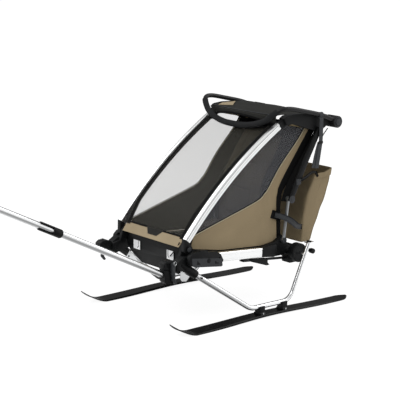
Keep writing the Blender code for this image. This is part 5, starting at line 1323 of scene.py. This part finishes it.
def buildSeat():
    cushion = {"low": (-0.166, -0.046, 0.3462), "high": (0.166, 0.138, 0.408), "crown": 0.30, "cap": 0.006}
    low, high = Vector(cushion["low"]), Vector(cushion["high"])
    pad = added("seatPad", bpy.ops.mesh.primitive_cube_add, size=2)
    edited(pad, lambda: bpy.ops.mesh.subdivide(number_cuts=8))
    for corner in pad.data.vertices:
        x, y, z = corner.co
        corner.co.z = z + (cushion["crown"] * (1 - x ** 2) * (1 - y ** 2) if z > 0.99 else 0)
        # the sides pull in between the corners
        corner.co.x *= 1 - 0.05 * (1 - y ** 2)
        corner.co.y *= 1 - 0.07 * (1 - x ** 2)
    middle = Matrix.Translation(inRow((low + high) / 2))
    pad.data.transform(middle @ Matrix.Diagonal((*((high - low) / 2), 1)))
    pad = inflated(bevelled(pad, 0.012, 3), 0.005, cushion["cap"])
    applyAll(pad)
    for corner in pad.data.vertices:
        corner.co.z = max(corner.co.z, low.z)
    finishPiece(pad, seatCloth, "chassis", ["seat_cushion"], 60)

    backrest = {
        "line": (
            (0.161, 0.349, 0), (0.160, 0.430, 0), (0.177, 0.590, 0), (0.196, 0.660, 0), (0.268, 0.775, 0),
            (0.345, 0.883, 0),
        ),
        "half": 0.165, "thickness": 0.0115, "seamIn": 0.095, "seamHeights": (0.47, 0.60, 0.73),
        "seamWidth": 0.004, "seamDepth": 0.0035,
    }
    line = smoothPath(backrest["line"], 6)
    rings = []
    for index, spot in enumerate(line):
        along = (line[min(index + 1, len(line) - 1)] - line[max(index - 1, 0)]).normalized()
        share = index / (len(line) - 1)
        across = Vector((along.y, -along.x, 0))
        width = backrest["half"] * (1 - 0.08 * abs(share * 2 - 1) ** 5)
        ring = []
        for sign in (-1, 1):
            for step in range(17):
                turn = (step if sign < 0 else 16 - step) / 16 * 2 - 1
                thick = backrest["thickness"] * (1 - 0.5 * abs(share * 2 - 1) ** 8)
                thick *= 1 - 0.6 * abs(turn) ** 6
                place = spot + across * thick * sign
                ring.append((turn * width, place.x, place.y))
        rings.append(ring)
    back = inflated(loftPiece("seatBackPad", rings), 0.005, 0.004)
    applyAll(back)
    # sewn channels come after the filling: two upright ones and three across
    frontFaced = [corner.normal.y < -0.3 for corner in back.data.vertices]
    seamIn, wide = backrest["seamIn"], backrest["seamWidth"]
    for corner, front in zip(back.data.vertices, frontFaced):
        across = abs(corner.co.x)
        dent = math.exp(-((across - seamIn) / wide) ** 2)
        for height in backrest["seamHeights"]:
            dent = max(dent, math.exp(-((corner.co.z - height) / wide) ** 2) * (across < seamIn))
        corner.co.y += backrest["seamDepth"] * dent * front
    finishPiece(back, seatCloth, "seat_back", ["seat_back"], 60)
    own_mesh(back)


# Straps, latches, plates and fasteners
def buildStraps():
    acrossRow, acrossSide = (0, 1, 0), (1, 0, 0)
    # the wrist strap, from the top arm down to a folded end
    wrist = [
        strapPiece(name, places, 0.026, thickness, acrossRow)
        for name, thickness, places in (
            ("wristStrap", 0.0024, [
                (0.3325, 0.452, 0.985), (0.3322, 0.4515, 0.938), (0.3298, 0.451, 0.866),
                (0.3298, 0.440, 0.800), (0.3292, 0.426, 0.723),
            ]),
            ("wristWrap", 0.0018, [
                (0.3060, 0.4525, 0.9935), (0.3180, 0.4525, 0.9955), (0.3315, 0.4522, 0.9900),
                (0.3325, 0.452, 0.972),
            ]),
            ("wristUnder", 0.0024, [(0.3262, 0.445, 0.862), (0.3262, 0.424, 0.800), (0.3262, 0.405, 0.727)]),
        )
    ]
    finishPiece(joined("wristStrap", wrist), greyWebbing, "upper_frame", ["wrist_strap"])

    # a thin stay behind it, and the strip that pulls the window over the left reflector
    stay = [(0.3245, 0.506, 0.930), (0.3262, 0.470, 0.895), (0.3282, 0.443, 0.858)]
    pull = [(0.236, -0.4215, 0.432), (0.224, -0.428, 0.405), (0.192, -0.426, 0.374), (0.150, -0.4168, 0.342)]
    for piece, slot in (
        (strapPiece("wristStay", stay, 0.008, 0.0014, acrossRow), "wrist_strap"),
        (strapPiece("windowPull", pull, 0.0060, 0.0016, (0.83, 0, -0.56)), "front_cover"),
    ):
        finishPiece(piece, webbing, "upper_frame")

    # the bag's side strap is a black tab on the wall, then grey webbing round the folding strut; inside,
    # a harness strap shows through the side window
    for name, width, thickness, across, finish, body, slot, places in (
        ("sideTab", 0.0018, 0.034, acrossSide, webbing, "chassis", "rear_bag", [
            (0.2642, 0.168, 0.500), (0.2644, 0.192, 0.491), (0.2660, 0.214, 0.484),
        ]),
        ("sideStrap", 0.0020, 0.022, acrossSide, greyWebbing, "chassis", "rear_bag", [
            (0.2668, 0.190, 0.4925), (0.2900, 0.202, 0.489), (0.3068, 0.224, 0.480), (0.3075, 0.262, 0.460),
            (0.2930, 0.306, 0.433), (0.2640, 0.352, 0.408), (0.2120, 0.430, 0.384),
        ]),
        ("harnessStrap", 0.022, 0.0018, acrossRow, webbing, "upper_frame", "seat_back", [
            (0.235, 0.385, 0.945), (0.235, 0.375, 0.900), (0.235, 0.358, 0.852),
        ]),
    ):
        onBothSides(strapPiece(name, places, width, thickness, across), finish, body)

    # the bag hangs from the struts on short straps
    places = [
        (0.3262, 0.296, 0.668), (0.3262, 0.330, 0.676), (0.290, 0.400, 0.680), (0.236, 0.480, 0.680),
        (0.2030, 0.538, 0.668), (0.1990, 0.556, 0.642),
    ]
    hanger = strapPiece("bagHanger", places, 0.0020, 0.010, acrossSide)
    crumpled(onBothSides(hanger, webbing, "chassis"))

    # the wrist strap's slide, the hangers' brackets and the harness buckles
    slide = bevelled(boxPiece("wristSlide", (0.3275, 0.434, 0.852), (0.3335, 0.466, 0.866)), 0.0016, 3)
    finishPiece(slide, nylon, "upper_frame")
    bracket = bevelled(boxPiece("strutBracket", (0.3238, 0.284, 0.650), (0.3300, 0.316, 0.680)), 0.002, 3)
    onBothSides(bracket, greyNylon, "upper_strut_left")
    buckle = bevelled(boxPiece("harnessBuckle", (0.229, 0.340, 0.826), (0.241, 0.376, 0.856)), 0.003, 3)
    onBothSides(buckle, nylon, "upper_frame")


# The outline moved to stand round a place.
def around(place, outline):
    return [(place[0] + a, place[1] + b) for a, b in outline]


def buildFittings():
    # reflectors in their frames: a pale lens with fine ribs, held by a hook
    lens = {"place": (0.143, 0.346), "half": (0.028, 0.024), "border": 0.0022, "ribs": 8, "ribHalf": 0.0012}
    (x, z), (w, h), border = lens["place"], lens["half"], lens["border"]
    plate = platePiece("noseReflector", around((x, z), flatSection(w, h)), -0.4112, -0.4095, "y")
    parts = [bevelled(plate, 0.0012)]
    for rib in range(lens["ribs"]):
        middle = x - w + 2 * w * (rib + 0.5) / lens["ribs"]
        outline = around((middle, z), flatSection(lens["ribHalf"], h - 0.003))
        parts.append(bevelled(platePiece("rib", outline, -0.4120, -0.4110, "y"), 0.0004, 1))
    onBothSides(joined("noseReflector", parts), reflectorWhite, "chassis")
    edge = around((x, z), flatSection(w + border, h + border))
    hook = [(x - 0.018, z + h), (x - 0.0145, z + h), (x - 0.0145, z - 0.006), (x - 0.006, z - 0.013)]
    hook += [(x - 0.008, z - 0.016), (x - 0.018, z - 0.008)]

    # plates: triangles between the nose and its cross tube, the latches' cheeks, and the receptacle's
    # face with a notch and a slot
    gusset = [(0.196, 0.306), (0.229, 0.264), (0.180, 0.247), (0.101, 0.243), (0.152, 0.282)]
    cheek = [(-0.470, 0.305), (-0.413, 0.268), (-0.435, 0.246), (-0.462, 0.250), (-0.474, 0.268)]
    face = [
        (-0.418, 0.366), (-0.226, 0.338), (-0.220, 0.300), (-0.228, 0.295), (-0.402, 0.318), (-0.416, 0.330),
    ]
    notch = [(-0.384, 0.350), (-0.363, 0.326), (-0.388, 0.330)]
    slit = [
        (-0.270, 0.331), (-0.262, 0.330), (-0.262, 0.322), (-0.248, 0.320), (-0.246, 0.314), (-0.270, 0.3165),
    ]
    for name, outline, low, high, facing, bevel, segments, finish, slot in (
        ("reflectorFrame", edge, -0.4103, -0.4090, "y", 0.0010, 2, nylon, "front_panel"),
        ("reflectorClip", hook, -0.4124, -0.4112, "y", 0, 0, nylon, "front_panel"),
        ("noseGusset", gusset, -0.4180, -0.4155, "y", 0.0006, 1, zincSteel, "front_cross_tube"),
        ("latchCheek", cheek, 0.3050, 0.3076, "x", 0.0006, 1, zincSteel, "hitch_block_left"),
        ("dockFace", face, 0.3331, 0.3340, "x", 0.0006, 1, greyNylon, "dock_left"),
        ("dockNotch", notch, 0.3336, 0.3344, "x", 0, 0, nylon, "dock_left"),
        ("dockSlot", slit, 0.3336, 0.3344, "x", 0, 0, nylon, "dock_left"),
    ):
        plate = platePiece(name, outline, low, high, facing)
        onBothSides(bevelled(plate, bevel, segments) if bevel else plate, finish, "chassis")
    ring = torusPiece("latchRing", (0.3165, -0.512, 0.352), 0.0105, 0.0012, (40, 8), 0.3)
    onBothSides(ring, zincSteel, "hitch_lever_left")

    # bolts, the front pivot's cap, the receptacle's round hole and the rear casting's screws
    screw = ((0.0028, 0, 0), 0.0040, 16, 0.0006, 2, zincSteel, "rear_casting_left")
    for name, place, reach, radius, sides, bevel, segments, finish, slot in (
        ("gussetBolt", (0.205, -0.4180, 0.272), (0, -0.0032, 0), 0.0050, 6, 0.0005, 2, blackSteel,
         "front_cross_tube"),
        ("pivotCap", (0.2950, *frontPivot), (0.0022, 0, 0), 0.0125, 40, 0.0010, 3, greyNylon,
         "front_corner_left"),
        ("dockHole", (0.3336, -0.310, 0.338), (0.0010, 0, 0), 0.0115, 40, 0.0004, 1, nylon, "dock_left"),
        ("castingScrew0", (0.2852, 0.175, 0.292), *screw),
        ("castingScrew1", (0.2852, 0.150, 0.306), *screw),
        ("castingScrew2", (0.2852, 0.100, 0.300), *screw),
    ):
        rod = rodPiece(name, place, Vector(place) + Vector(reach), radius, sides)
        onBothSides(bevelled(rod, bevel, segments), finish, "chassis")

    # knuckle caps and the struts' pins, each with a hexagon in its middle
    upper, lower, arm = "upper_strut_left", "lower_strut_left", "top_arm_left"
    for name, place, radius, x, finish, body, slot in (
        ("knuckleCap", knuckle, 0.0205, 0.3236, greyNylon, upper, upper),
        ("kneeCap", rearPivot, 0.0150, 0.3043, greyNylon, lower, lower),
        ("armPin", upperPivot, 0.0100, 0.3043, nylon, "upper_frame", arm),
    ):
        disc = bevelled(rodPiece(name, (x, *place), (x + 0.0028, *place), radius, 40), 0.0010, 3)
        centre = rodPiece("pin", (x + 0.0026, *place), (x + 0.0040, *place), radius * 0.42, 6)
        onBothSides(joined(name, [disc, bevelled(centre, 0.0004, 1)]), finish, body)


buildWindscreen()
buildSides()
buildRearWall()
buildGussets()
buildCanopy()
print("cabin is covered")
buildBag()
buildSeat()
buildStraps()
buildFittings()
print("bag, seat, straps and fittings are on")
